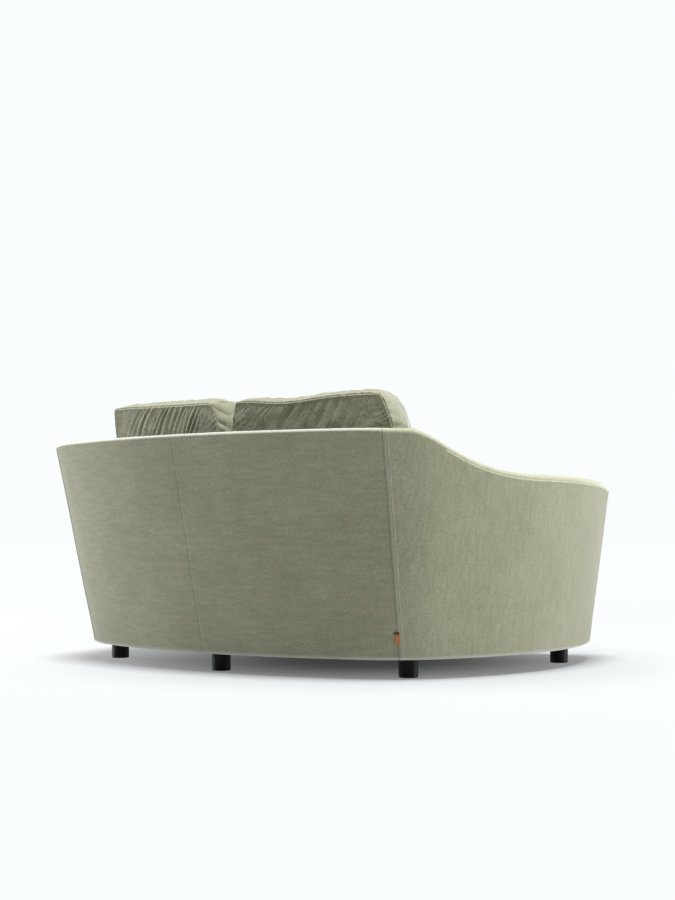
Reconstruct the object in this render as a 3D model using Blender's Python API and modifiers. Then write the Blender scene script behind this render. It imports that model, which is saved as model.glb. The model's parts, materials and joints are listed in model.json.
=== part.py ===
"""A curved two-seat sofa: bent timber frame, sinuous springs, padded panels and loose cushions.

The sofa stands on the floor at z = 0 and faces -Y. +X is on the right as seen from the front.
Everything that bends is a straight blank bent along the plan of the sofa, which is a chain of
arcs: back, rear corner, side, arm end, and the hollow front. A place on the wall is given by the
distance along that chain, the depth into the wall and the height.
"""

import math

import bmesh
import bpy
from mathutils import Matrix, Vector

MM = 0.001

# Plan of the wall, along the bottom edge of its outer face
BACK_RADIUS = 1550 * MM
BACK_ANGLE = math.radians(20.25)
CORNER_RADIUS = 342 * MM
CORNER_ANGLE = math.radians(41.7)
SIDE_RADIUS = 1025 * MM
SIDE_ANGLE = math.radians(51.8)
ARM_END_RADIUS = 130 * MM
FRONT_DEPTH = 950 * MM
FACET_ANGLES = {
    "back": math.radians(3.4),
    "corner": math.radians(4.2),
    "side": math.radians(4.3),
    "end": math.radians(10),
    "inner end": math.radians(15),
    "front": math.radians(5),
}

# Heights
LEG_HEIGHT = 58.2 * MM
BACK_RIM = 737 * MM
ARM_RIM = 616.5 * MM
ARM_FRONT_FALL = 19.5 * MM
BORDER_HEIGHT = 152 * MM

# The wall leans out on both faces
BACK_FLARE = math.radians(12.65)
SIDE_FLARE = math.radians(7.15)
FRONT_FLARE = math.radians(6)
FLARE_EASE_FROM = math.radians(19)
FLARE_EASE_TO = math.radians(92)
WALL = 140 * MM

# Where the top runs down from back to arm
DROP_START = 740 * MM
DROP_LENGTH = 460 * MM
DROP_EASE_SHARE = 0.12
DROP_POWER_SHARE = 3.11

# Cover panels, pads and roll
GAP = 0.4 * MM
PANEL = 8 * MM
SHELL_BOARD = 3 * MM
INNER_PAD = 28 * MM
ROLL_RADIUS = 19 * MM
ROLL_SEAM = 1.5 * MM
SEAM_AT = 666 * MM
ARM_SEAM_HEADING = math.radians(136)
INNER_CORNER_AT = 700 * MM
BORDER = 14 * MM
BORDER_PROUD = 4 * MM
CLOTH = 1.2 * MM
TAB_WIDTH = 15 * MM
TAB_HEIGHT = 36 * MM
TAB_THICKNESS = 2.4 * MM
TAB_ABOVE_EDGE = 48 * MM
TAB_BEHIND_SHARE = 0.3
DECK_SETBACK = 4 * MM

# Timber frame
PLATE = 24 * MM
PLATE_WIDTH = 112 * MM
POST_WIDTH = 60 * MM
POST_DEPTH = 45 * MM
MIDDLE_POST_AT = 330 * MM
CORNER_POST_AT = 615 * MM
FRONT_POST_INSET = 40 * MM
TOP_RAIL = 26 * MM
RAIL_WADDING = 6 * MM
SPRING_RAIL_WIDTH = 42 * MM
SPRING_RAIL_HEIGHT = 40 * MM
SPRING_RAIL_PAST_POST = 75 * MM
FRONT_BOARD = 18 * MM
FRONT_BOARD_INSET = 30 * MM
PLATE_JOINT_AT = 790 * MM
BEARER_WIDTH = 36 * MM
BEARER_HEIGHT = 34 * MM

# Sinuous springs
SPRING_WIRE = 3.8 * MM
SPRING_WIDTH = 50 * MM
SPRING_HALF_WAVE = 29 * MM
SPRING_RISE = 16 * MM
SPRING_FIRST_AT = 90 * MM
SPRING_SPACING = 130 * MM
SPRING_LOOP_SHARE = 0.27
SPRING_NAMES = ("a", "b", "c", "d")

# Legs and their bolts
LEG_DIAMETER = 60 * MM
LEG_CHAMFER = 2.5 * MM
REAR_LEG_INSET = 86 * MM
FRONT_LEG_INSET = 83 * MM
REAR_LEG_AT = 714 * MM
FRONT_LEG_AT = 1569 * MM
LEG_FACETS = 32
BOLT_DIAMETER = 8 * MM
BOLT_IN_LEG = 26 * MM
BOLT_IN_PLATE = 20 * MM
BOLT_FACETS = 12
BORE_CLEARANCE = 0.4 * MM

# Seat cushions
SEAT_THICKNESS = 186 * MM
SEAT_CROWN = 26 * MM
SEAT_CLEARANCE = 5 * MM
SEAT_OVERHANG = 10 * MM
SEAT_DRAW_IN = 7 * MM
SEAT_CORNER_AT = 650 * MM
SEAT_PARTING = 4 * MM

# Back cushions
BACK_CUSHION_WIDTH = 552 * MM
BACK_CUSHION_HEIGHT = 446 * MM
BACK_CUSHION_FOOT = 205 * MM
BACK_CUSHION_HEAD = 165 * MM
BACK_CUSHION_CROWN = 34 * MM
BACK_CUSHION_BULGE = 12 * MM
BACK_CUSHION_TOP_CROWN = 26 * MM
BACK_CUSHION_DRAW_IN = 10 * MM
BACK_CUSHION_TURN = math.radians(7.6)
BACK_CUSHION_LEAN = math.radians(2.5)
BACK_CUSHION_FROM_MIDDLE = 6 * MM
BACK_CUSHION_FROM_WALL = 72 * MM
CUSHION_SINK = 7.8 * MM

# Where the rings of a cushion's cage lie, across it and up it
CAGE_SHARES = (0.0, 0.06, 0.34, 0.66, 0.94, 1.0)

CUT_OVERRUN = 5 * MM

# Levels that follow from the heights above
BOTTOM = LEG_HEIGHT + GAP
PLATE_BOTTOM = BOTTOM + CLOTH + GAP
PLATE_TOP = PLATE_BOTTOM + PLATE
BORDER_TOP = BOTTOM + BORDER_HEIGHT
DECK = BORDER_TOP + GAP
SPRING_RAIL_TOP = DECK - GAP - CLOTH - SPRING_RISE - SPRING_WIRE
SEAT_BOTTOM = DECK + GAP + CLOTH
SEAT_TOP = SEAT_BOTTOM + SEAT_THICKNESS
BACK_CUSHION_BOTTOM = SEAT_TOP + SEAT_CROWN - CUSHION_SINK
FRONT_FRAME_DEPTH = BORDER - BORDER_PROUD + GAP
BOARD_DEPTH = PANEL + GAP
FRAME_DEPTH = BOARD_DEPTH + SHELL_BOARD + GAP


# The scene is cleared, and two collections are made for the pieces and the cutters


def clear_scene():
    for old in list(bpy.data.objects):
        bpy.data.objects.remove(old, do_unlink=True)


def new_collection(name):
    made = bpy.data.collections.new(name)
    bpy.context.scene.collection.children.link(made)
    return made


clear_scene()
SOFA = new_collection("curved_sofa")
CUTTERS = new_collection("cutters")
CUTTERS.hide_render = True


def finish(name, colour, roughness, metallic=0.0):
    """A plain Principled material."""
    made = bpy.data.materials.new(name)
    made.use_nodes = True
    shader = made.node_tree.nodes["Principled BSDF"]
    shader.inputs["Base Color"].default_value = (*colour, 1.0)
    shader.inputs["Roughness"].default_value = roughness
    shader.inputs["Metallic"].default_value = metallic
    return made


VELVET = finish("sage_velvet", (0.30, 0.32, 0.23), 0.85)
CUSHION_VELVET = finish("sage_velvet_cushion", (0.27, 0.29, 0.21), 0.85)
PLYWOOD = finish("birch_plywood", (0.62, 0.45, 0.27), 0.6)
TIMBER = finish("pine_timber", (0.66, 0.47, 0.26), 0.6)
HARDBOARD = finish("hardboard", (0.30, 0.18, 0.09), 0.7)
DECK_CLOTH = finish("deck_cloth", (0.20, 0.21, 0.17), 0.9)
DUST_CLOTH = finish("dust_cloth", (0.02, 0.02, 0.02), 0.9)
SPRING_STEEL = finish("spring_steel", (0.30, 0.30, 0.32), 0.35, 1.0)
ZINC = finish("zinc_steel", (0.60, 0.60, 0.62), 0.3, 1.0)
BLACK_WOOD = finish("black_stained_wood", (0.012, 0.011, 0.010), 0.45)
TAN_LEATHER = finish("tan_leather", (0.36, 0.15, 0.06), 0.6)


# The plan: chains of arcs, read as stations


class Station:
    """A place on a chain: distance along it, point, outward normal, the way the face moves per height, and rim height."""

    def __init__(self, at, point, normal, lean, rim):
        self.at = at
        self.point = point
        self.normal = normal
        self.lean = lean
        self.rim = rim


def outward(heading):
    """The outward direction where the chain runs in this heading, which turns from +X towards -Y."""
    return Vector((math.sin(heading), math.cos(heading), 0.0))


def smooth(share):
    share = min(max(share, 0.0), 1.0)
    return share * share * (3.0 - 2.0 * share)


def rim_height(at):
    """Level along the back, an S curve down at the corner, then a slight fall to the arm's end."""
    share = min(max((at - DROP_START) / DROP_LENGTH, 0.0), 1.0)
    eased = share * share / (share + DROP_EASE_SHARE) * (1.0 + DROP_EASE_SHARE)
    fallen = 1.0 - (1.0 - eased) ** DROP_POWER_SHARE
    arm_start = DROP_START + DROP_LENGTH
    forward = min(max((at - arm_start) / (SIDE_END - arm_start), 0.0), 1.0)
    return BACK_RIM - (BACK_RIM - ARM_RIM) * fallen - ARM_FRONT_FALL * forward**2


def arc_chain(start, heading, at, arcs, facets, slope_of):
    """Stations along arcs that follow each other. Each arc is a radius and an angle, negative where it is hollow."""
    stations = [Station(at, start, outward(heading), None, rim_height(at))]
    for (radius, angle), facet in zip(arcs, facets):
        steps = math.ceil(abs(angle) / facet)
        turn = math.copysign(radius, angle)
        centre = stations[-1].point - outward(heading) * turn
        for step in range(1, steps + 1):
            normal = outward(heading + angle * step / steps)
            there = at + radius * abs(angle) * step / steps
            stations.append(Station(there, centre + normal * turn, normal, None, rim_height(there)))
        heading += angle
        at += radius * abs(angle)
    lean_facets(stations, slope_of)
    return stations


def lean_facets(stations, slope_of):
    """Lean each station along the line where the flat facets on its two sides meet, so that all facets stay flat."""
    flats = []
    for low, high in zip(stations, stations[1:]):
        normal = (low.normal + high.normal).normalized()
        flats.append((normal, slope_of((low.at + high.at) / 2, normal)))
    for number, station in enumerate(stations):
        before = flats[number - 1] if number else mirrored_flat(flats[0], station.normal)
        after = flats[number] if number < len(flats) else mirrored_flat(flats[-1], station.normal)
        (p, slope_p), (q, slope_q) = before, after
        across = p.x * q.y - p.y * q.x
        lean_x = (slope_p * q.y - slope_q * p.y) / across
        lean_y = (p.x * slope_q - q.x * slope_p) / across
        station.lean = Vector((lean_x, lean_y, 0.0))


def mirrored_flat(flat, about):
    normal, slope = flat
    return about * 2.0 * about.dot(normal) - normal, slope


BACK_LENGTH = BACK_RADIUS * BACK_ANGLE
CORNER_END = BACK_LENGTH + CORNER_RADIUS * CORNER_ANGLE
SIDE_END = CORNER_END + SIDE_RADIUS * SIDE_ANGLE
SIDE_HEADING = BACK_ANGLE + CORNER_ANGLE + SIDE_ANGLE


def outer_slope(at, normal):
    """The back leans out most. Round the rear corner the lean eases to that of the side."""
    heading = math.atan2(normal.x, normal.y)
    share = smooth((heading - FLARE_EASE_FROM) / (FLARE_EASE_TO - FLARE_EASE_FROM))
    back, side = math.tan(BACK_FLARE), math.tan(SIDE_FLARE)
    return back + (side - back) * share


OUTER = arc_chain(
    Vector((0.0, 0.0, 0.0)),
    0.0,
    0.0,
    ((BACK_RADIUS, BACK_ANGLE), (CORNER_RADIUS, CORNER_ANGLE), (SIDE_RADIUS, SIDE_ANGLE)),
    (FACET_ANGLES["back"], FACET_ANGLES["corner"], FACET_ANGLES["side"]),
    outer_slope,
)

# The arm ends in two arcs that turn right round. The inner one makes up the wall's thickness.
END_TURN = math.pi - SIDE_HEADING
INNER_TURN = math.pi - END_TURN
END_COSINE = math.cos(END_TURN)
INNER_END_RADIUS = (WALL - ARM_END_RADIUS * (1.0 - END_COSINE)) / (1.0 + END_COSINE)
END_LENGTH = ARM_END_RADIUS * END_TURN
TURN_LENGTH = END_LENGTH + INNER_END_RADIUS * INNER_TURN


def end_slope(at, normal):
    """The arm's end leans one way as a whole: out to the side, as the wall behind it does."""
    return OUTER[-1].lean.dot(normal)


ARM_END = arc_chain(
    OUTER[-1].point,
    SIDE_HEADING,
    SIDE_END,
    ((ARM_END_RADIUS, END_TURN), (INNER_END_RADIUS, INNER_TURN)),
    (FACET_ANGLES["end"], FACET_ANGLES["inner end"]),
    end_slope,
)


def inner_chain():
    """The inner face: the outer chain moved in by the wall's thickness, from the arm's end back to the middle."""
    stations = []
    at, last = ARM_END[-1].at, ARM_END[-1].point
    for outer in reversed(OUTER):
        spot = outer.point - outer.normal * WALL
        at += (spot - last).length
        last = spot
        stations.append(Station(at, spot, -outer.normal, outer.lean, outer.rim))
    return stations


INNER = inner_chain()
WALL_CHAIN = OUTER + ARM_END[1:] + INNER
INNER_MIDDLE = WALL_CHAIN[-1].at

# Low down, the hollow front meets the circle of the arm's end
END_CENTRE = OUTER[-1].point - OUTER[-1].normal * ARM_END_RADIUS
FRONT_TO_CENTRE = END_CENTRE.y + FRONT_DEPTH
FRONT_RADIUS = (END_CENTRE.x**2 + FRONT_TO_CENTRE**2 - ARM_END_RADIUS**2) / (
    2.0 * (ARM_END_RADIUS - FRONT_TO_CENTRE)
)
FRONT_TURN = math.atan2(END_CENTRE.x, FRONT_RADIUS + FRONT_TO_CENTRE)
BORDER_START = SIDE_END + ARM_END_RADIUS * (ARM_SEAM_HEADING - SIDE_HEADING)
HOLLOW_START = SIDE_END + ARM_END_RADIUS * (math.pi + FRONT_TURN - SIDE_HEADING)


def front_slope(at, normal):
    """From the lean of the arm's end to that of the front's middle. The first facets keep the arm's lean."""
    ease_start = BORDER_START + 2.0 * FACET_ANGLES["end"] * ARM_END_RADIUS
    share = smooth((at - ease_start) / (HOLLOW_START - ease_start))
    return OUTER[-1].lean.lerp(outward(math.pi) * math.tan(FRONT_FLARE), share).dot(normal)


FRONT = arc_chain(
    OUTER[-1].point,
    SIDE_HEADING,
    SIDE_END,
    ((ARM_END_RADIUS, math.pi + FRONT_TURN - SIDE_HEADING), (FRONT_RADIUS, -FRONT_TURN)),
    (FACET_ANGLES["end"], FACET_ANGLES["front"]),
    front_slope,
)
BASE_CHAIN = OUTER + FRONT[1:]
FRONT_MIDDLE = FRONT[-1].at


def from_front(stations):
    """The same chain, with its distances counted from the front's middle."""
    return [Station(FRONT_MIDDLE - s.at, s.point, s.normal, s.lean, s.rim) for s in reversed(stations)]


FRONT_CHAIN = from_front(FRONT)
HOLLOW_LENGTH = FRONT_MIDDLE - HOLLOW_START

# The origin is under the middle of the whole sofa
BACK_REACH = math.tan(BACK_FLARE) * (BACK_RIM - ROLL_RADIUS - BOTTOM)
FRONT_REACH = min(s.point.y + s.lean.y * (s.rim - ROLL_RADIUS - BOTTOM) for s in ARM_END)
TO_ORIGIN = Vector((0.0, -(BACK_REACH + FRONT_REACH) / 2, 0.0))


def read_chain(chain, at):
    """The station at a distance along a chain. A negative distance is mirrored to -X."""
    flip = Vector((math.copysign(1.0, at), 1.0, 1.0))
    at = min(max(abs(at), chain[0].at), chain[-1].at)
    for low, high in zip(chain, chain[1:]):
        if at <= high.at:
            break
    share = (at - low.at) / (high.at - low.at)
    point = low.point.lerp(high.point, share) * flip
    normal = low.normal.lerp(high.normal, share) * flip
    lean = low.lean.lerp(high.lean, share) * flip
    return Station(at, point, normal, lean, low.rim + (high.rim - low.rim) * share)


def on_wall(chain, at, depth, height):
    """The point at this distance along the chain, this depth into the wall, and this height."""
    here = read_chain(chain, at)
    spot = here.point + here.lean * (height - BOTTOM) - here.normal * depth + TO_ORIGIN
    return Vector((spot.x, spot.y, height))


def stops_between(chain, start, end):
    """The distances where a blank is creased: its two ends and each station between them."""
    low, high = min(start, end), max(start, end)
    marks = {station.at for station in chain} | {-station.at for station in chain}
    inside = sorted(mark for mark in marks if low + GAP < mark < high - GAP)
    return [low] + inside + [high]


# Making objects


def add_object(name, mesh, material, collection=SOFA):
    mesh.materials.append(material)
    made = bpy.data.objects.new(name, mesh)
    collection.objects.link(made)
    return made


def mesh_from(name, bm):
    """The mesh of a bent shape. Bending can mirror it, which leaves its faces pointing inwards."""
    if bm.calc_volume(signed=True) < 0.0:
        bmesh.ops.reverse_faces(bm, faces=bm.faces)
    mesh = bpy.data.meshes.new(name)
    bm.to_mesh(mesh)
    bm.free()
    return mesh


def shade(obj, angle=math.radians(35)):
    obj.data.shade_smooth()
    obj.data.set_sharp_from_angle(angle=angle)
    return obj


def straight_blank(bm, lengths, sides):
    """A bar along X from 0 to 1, square or round in section, creased into as many lengths as asked."""
    if sides == 4:
        bmesh.ops.create_cube(bm, size=1.0)
        bmesh.ops.translate(bm, vec=(0.5, 0.0, 0.0), verts=bm.verts)
    else:
        place = Matrix.Translation((0.5, 0.0, 0.0)) @ Matrix.Rotation(math.pi / 2, 4, "Y")
        bmesh.ops.create_cone(
            bm, cap_ends=True, segments=sides, radius1=0.5, radius2=0.5, depth=1.0, matrix=place
        )
    long_edges = [e for e in bm.edges if abs(e.verts[0].co.x - e.verts[1].co.x) > 0.5]
    if lengths > 1:
        bmesh.ops.subdivide_edges(bm, edges=long_edges, cuts=lengths - 1, use_grid_fill=True)


def bent_bar(name, chain, start, end, section, material, sides=4):
    """A bar bent along a chain. section(here, y, z) gives depth and height for the blank's corner at y, z."""
    stops = stops_between(chain, start, end)
    bm = bmesh.new()
    straight_blank(bm, len(stops) - 1, sides)
    for vertex in bm.verts:
        at = stops[round(vertex.co.x * (len(stops) - 1))]
        depth, height = section(read_chain(chain, at), vertex.co.y, vertex.co.z)
        vertex.co = on_wall(chain, at, depth, height)
    return shade(add_object(name, mesh_from(name, bm), material))


def slab(shallow, deep, low, high):
    """A four-cornered section between two depths and two heights. A height may be a function of the station."""

    def section(here, y, z):
        height = high if z > 0.0 else low
        return (deep if y > 0.0 else shallow), (height(here) if callable(height) else height)

    return section


def flat_sheet(name, outline, bottom, thickness, material):
    """A closed outline, filled and given its thickness."""
    curve = bpy.data.curves.new(name, "CURVE")
    curve.dimensions = "2D"
    curve.fill_mode = "BOTH"
    curve.extrude = thickness / 2
    spline = curve.splines.new("POLY")
    spline.points.add(len(outline) - 1)
    for point, place in zip(spline.points, outline):
        point.co = (place.x, place.y, 0.0, 1.0)
    spline.use_cyclic_u = True
    holder = bpy.data.objects.new(name + "_curve", curve)
    SOFA.objects.link(holder)
    holder.location.z = bottom + thickness / 2
    bpy.context.view_layer.update()
    mesh = bpy.data.meshes.new_from_object(holder.evaluated_get(bpy.context.evaluated_depsgraph_get()))
    place = holder.matrix_world.copy()
    bpy.data.objects.remove(holder, do_unlink=True)
    bm = bmesh.new()
    bm.from_mesh(mesh)
    bmesh.ops.remove_doubles(bm, verts=bm.verts, dist=GAP / 4)
    bm.to_mesh(mesh)
    bm.free()
    made = add_object(name, mesh, material)
    made.matrix_world = place
    return made


def cut(obj, cutter):
    difference = obj.modifiers.new("cut " + cutter.name, "BOOLEAN")
    difference.operation = "DIFFERENCE"
    difference.object = cutter


def both(names):
    """The two sides of a piece: its name on each side, and the sign of X there."""
    return ((f"{names}_left", -1.0), (f"{names}_right", 1.0))


SEAM = GAP / 2


# Outer panels: the cover and its wadding, from the bottom edge to just under the top roll


def panel_top(here):
    return here.rim - ROLL_RADIUS


def make_outer_panels():
    section = slab(0.0, PANEL, BOTTOM, panel_top)
    for name, sign in both("back_panel"):
        bent_bar(name, OUTER, sign * SEAM, sign * (SEAM_AT - SEAM), section, VELVET)
    for name, sign in both("side_panel"):
        ends = (sign * (SEAM_AT + SEAM), sign * (BORDER_START - SEAM))
        bent_bar(name, WALL_CHAIN, *ends, section, VELVET)


# Top roll: rounded padding over the top rails, with a flat underside


ROLL_SIDES = 14
ROUND_SHARE = 3 / ROLL_SIDES
NOSE_LENGTH = ARM_END_RADIUS * math.sin(END_TURN) + INNER_END_RADIUS * (1.0 - math.sin(END_TURN))
NOSE_SHARES = (0.25, 0.5, 0.7, 0.84, 0.93, 0.98)


def nose_chain():
    """The outer chain, carried straight on over the arm's end."""
    last = OUTER[-1]
    forward = Vector((math.cos(SIDE_HEADING), -math.sin(SIDE_HEADING), 0.0))
    nose = []
    for share in NOSE_SHARES:
        reach = NOSE_LENGTH * share
        nose.append(Station(last.at + reach, last.point + forward * reach, last.normal, last.lean, last.rim))
    return OUTER + nose


def nose_cut(reach):
    """How far the arm's end has curved in from the wall's outer and inner lines, this far past the side's end."""
    outer_reach = ARM_END_RADIUS * math.sin(END_TURN)
    inner_start = outer_reach - INNER_END_RADIUS * math.sin(END_TURN)
    inner_reach = max(reach - inner_start, 0.0)
    inner = INNER_END_RADIUS - math.sqrt(max(INNER_END_RADIUS**2 - inner_reach**2, 0.0))
    if reach <= outer_reach:
        return ARM_END_RADIUS - math.sqrt(ARM_END_RADIUS**2 - reach**2), inner
    return WALL - 2.0 * INNER_END_RADIUS + inner, inner


def roll_section(here, y, z):
    """A flat underside, two quarter rounds and a flat crest. y and z lie on a circle of diameter 1."""
    foot = panel_top(here) + ROLL_SEAM
    reach = max(here.at - SIDE_END, 0.0)
    outer, inner = nose_cut(reach)
    middle, half = (outer + WALL - inner) / 2, (WALL - inner - outer) / 2
    to_tip = min((NOSE_LENGTH - reach) / ROLL_RADIUS, 1.0)
    full_rise = ROLL_RADIUS - ROLL_SEAM
    tip_rise = full_rise * math.sqrt(1.0 - (1.0 - to_tip) ** 2)
    across, up = 2.0 * y, 2.0 * z
    if up < 0.01:
        return middle + across * half, foot
    angle = min(math.atan2(up, abs(across)) / (math.tau * ROUND_SHARE), 1.0) * math.pi / 2
    inset = min(full_rise, half) * (1.0 - math.cos(angle))
    return middle + math.copysign(half - inset, across), foot + tip_rise * math.sin(angle)


def make_top_rolls():
    end = SEAM_AT - SEAM
    bent_bar("top_roll_back", OUTER, -end, end, roll_section, VELVET, sides=ROLL_SIDES)
    chain = nose_chain()
    for name, sign in both("top_roll"):
        ends = (sign * (SEAM_AT + SEAM), sign * chain[-1].at)
        bent_bar(name, chain, *ends, roll_section, VELVET, sides=ROLL_SIDES)


# Inner pads: foam and cover on the inside of the back and the arms, and round the arms' ends


def make_inner_pads():
    corner = INNER_MIDDLE - INNER_CORNER_AT
    section = slab(0.0, INNER_PAD, SEAT_BOTTOM, panel_top)
    for name, sign in both("inner_back_pad"):
        ends = (sign * (INNER_MIDDLE - SEAM), sign * (corner + SEAM))
        bent_bar(name, WALL_CHAIN, *ends, section, VELVET)
    section = slab(0.0, INNER_PAD, BORDER_TOP + GAP, panel_top)
    for name, sign in both("inner_arm_pad"):
        ends = (sign * (corner - SEAM), sign * (BORDER_START + SEAM))
        bent_bar(name, WALL_CHAIN, *ends, section, VELVET)


# Front border: the padded strip low across the front, from arm seam to arm seam


def make_front_border():
    end = FRONT_MIDDLE - BORDER_START - SEAM
    section = slab(-BORDER_PROUD, BORDER - BORDER_PROUD, BOTTOM, BORDER_TOP)
    bent_bar("front_border", FRONT_CHAIN, -end, end, section, VELVET)


def make_leather_tab():
    low = BOTTOM + TAB_ABOVE_EDGE
    section = slab(-GAP - TAB_THICKNESS, -GAP, low, low + TAB_HEIGHT)
    start = -SEAM_AT - TAB_WIDTH * TAB_BEHIND_SHARE
    bent_bar("leather_tab", OUTER, start, start + TAB_WIDTH, section, TAN_LEATHER)


# Timber frame


def make_base_plates():
    section = slab(FRAME_DEPTH, FRAME_DEPTH + PLATE_WIDTH, PLATE_BOTTOM, PLATE_TOP)
    end = PLATE_JOINT_AT - SEAM
    plates = [bent_bar("base_plate_back", OUTER, -end, end, section, PLYWOOD)]
    for name, sign in both("base_plate"):
        ends = (sign * (PLATE_JOINT_AT + SEAM), sign * (HOLLOW_START - SEAM))
        plates.append(bent_bar(name, BASE_CHAIN, *ends, section, PLYWOOD))
    end = HOLLOW_LENGTH - SEAM
    plates.append(bent_bar("base_plate_front", FRONT_CHAIN, -end, end, section, PLYWOOD))
    return plates


def rail_top(here):
    return panel_top(here) - RAIL_WADDING


def rail_underside(here):
    return rail_top(here) - TOP_RAIL


def make_top_rails():
    section = slab(FRAME_DEPTH, WALL - INNER_PAD - GAP, rail_underside, rail_top)
    end = SEAM_AT - SEAM
    bent_bar("top_rail_back", OUTER, -end, end, section, PLYWOOD)
    for name, sign in both("top_rail"):
        bent_bar(name, OUTER, sign * (SEAM_AT + SEAM), sign * SIDE_END, section, PLYWOOD)


def make_posts():
    section = slab(
        FRAME_DEPTH, FRAME_DEPTH + POST_DEPTH, PLATE_TOP + GAP, lambda here: rail_underside(here) - GAP
    )
    half = POST_WIDTH / 2
    bent_bar("post_back_centre", OUTER, -half, half, section, TIMBER)
    places = {
        "post_back": MIDDLE_POST_AT,
        "post_corner": CORNER_POST_AT,
        "post_arm_front": SIDE_END - FRONT_POST_INSET,
    }
    for stem, at in places.items():
        for name, sign in both(stem):
            bent_bar(name, OUTER, sign * (at - half), sign * (at + half), section, TIMBER)


def make_shell_boards():
    section = slab(BOARD_DEPTH, BOARD_DEPTH + SHELL_BOARD, PLATE_BOTTOM, lambda here: panel_top(here) - GAP)
    end = SEAM_AT - SEAM
    bent_bar("shell_board_back", OUTER, -end, end, section, HARDBOARD)
    for name, sign in both("shell_board"):
        ends = (sign * (SEAM_AT + SEAM), sign * (BORDER_START - BORDER))
        bent_bar(name, WALL_CHAIN, *ends, section, HARDBOARD)


BACK_RAIL_DEPTH = FRAME_DEPTH + POST_DEPTH + GAP
FRONT_RAIL_DEPTH = FRONT_FRAME_DEPTH + FRONT_BOARD + GAP
SPRING_RAIL_BOTTOM = SPRING_RAIL_TOP - SPRING_RAIL_HEIGHT


def make_seat_rails():
    end = CORNER_POST_AT + SPRING_RAIL_PAST_POST
    deep = BACK_RAIL_DEPTH + SPRING_RAIL_WIDTH
    section = slab(BACK_RAIL_DEPTH, deep, SPRING_RAIL_BOTTOM, SPRING_RAIL_TOP)
    bent_bar("spring_rail_back", OUTER, -end, end, section, TIMBER)
    end = HOLLOW_LENGTH - FRONT_BOARD_INSET
    deep = FRONT_RAIL_DEPTH + SPRING_RAIL_WIDTH
    section = slab(FRONT_RAIL_DEPTH, deep, SPRING_RAIL_BOTTOM, SPRING_RAIL_TOP)
    bent_bar("spring_rail_front", FRONT_CHAIN, -end, end, section, TIMBER)
    deep = FRONT_FRAME_DEPTH + FRONT_BOARD
    section = slab(FRONT_FRAME_DEPTH, deep, PLATE_TOP + GAP, SPRING_RAIL_TOP)
    bent_bar("front_board", FRONT_CHAIN, -end, end, section, PLYWOOD)


def y_on_wall(chain, depth, height, x):
    """Where a line on the wall, at this depth and height, crosses this X. The line starts at the middle."""
    points = [on_wall(chain, station.at, depth, height) for station in chain]
    for low, high in zip(points, points[1:]):
        if abs(x) <= high.x:
            return low.y + (high.y - low.y) * (abs(x) - low.x) / (high.x - low.x)
    return points[-1].y


def make_bearer():
    """One straight bearer under the two spring rails, on the centre line."""
    top = SPRING_RAIL_BOTTOM - GAP
    back = y_on_wall(OUTER, BACK_RAIL_DEPTH, top - BEARER_HEIGHT, BEARER_WIDTH / 2)
    front = y_on_wall(FRONT_CHAIN, FRONT_RAIL_DEPTH, top - BEARER_HEIGHT, 0.0)
    bm = bmesh.new()
    bmesh.ops.create_cube(bm, size=1.0)
    bmesh.ops.scale(bm, vec=(BEARER_WIDTH, back - front, BEARER_HEIGHT), verts=bm.verts)
    made = add_object("bearer_centre", mesh_from("bearer_centre", bm), TIMBER)
    made.location = (0.0, (back + front) / 2, top - BEARER_HEIGHT / 2)


# Sinuous springs: flat waves of wire that arch from the back spring rail to the front one


def spring_wave(start, end):
    """Points of one wave along Y, about X = 0: two to each loop, side to side, rising in an arch."""
    loops = round((start - end) / SPRING_HALF_WAVE)
    pitch = (start - end) / loops
    for loop in range(loops + 1):
        x = SPRING_WIDTH / 2 * (1.0 if loop % 2 else -1.0)
        for turn in (-SPRING_LOOP_SHARE, SPRING_LOOP_SHARE):
            y = min(max(loop + turn, 0.0), loops)
            arch = math.sin(math.pi * y / loops)
            yield Vector((x, start - y * pitch, SPRING_RISE * arch))


def make_springs():
    lift = SPRING_RAIL_TOP + GAP + SPRING_WIRE / 2
    for number, letter in enumerate(SPRING_NAMES):
        x = SPRING_FIRST_AT + number * SPRING_SPACING
        inset = (SPRING_RAIL_WIDTH - SPRING_WIRE) / 2
        back = y_on_wall(OUTER, BACK_RAIL_DEPTH + inset, SPRING_RAIL_TOP, x)
        front = y_on_wall(FRONT_CHAIN, FRONT_RAIL_DEPTH + inset, SPRING_RAIL_TOP, x)
        for name, sign in both(f"spring_{letter}"):
            curve = bpy.data.curves.new(name, "CURVE")
            curve.dimensions = "3D"
            curve.bevel_depth = SPRING_WIRE / 2
            curve.bevel_resolution = 0
            curve.use_fill_caps = True
            spline = curve.splines.new("POLY")
            wave = list(spring_wave(back, front))
            spline.points.add(len(wave) - 1)
            for point, place in zip(spline.points, wave):
                point.co = (*place, 1.0)
            curve.materials.append(SPRING_STEEL)
            made = bpy.data.objects.new(name, curve)
            made.location = (sign * x, 0.0, lift)
            SOFA.objects.link(made)


# Cloth over the springs and under the frame


def line_on_wall(chain, start, end, depth, height):
    """Points along the wall from one distance to another, at each station between them."""
    stops = stops_between(chain, start, end)
    return [on_wall(chain, at, depth, height) for at in (stops if start <= end else reversed(stops))]


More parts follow.
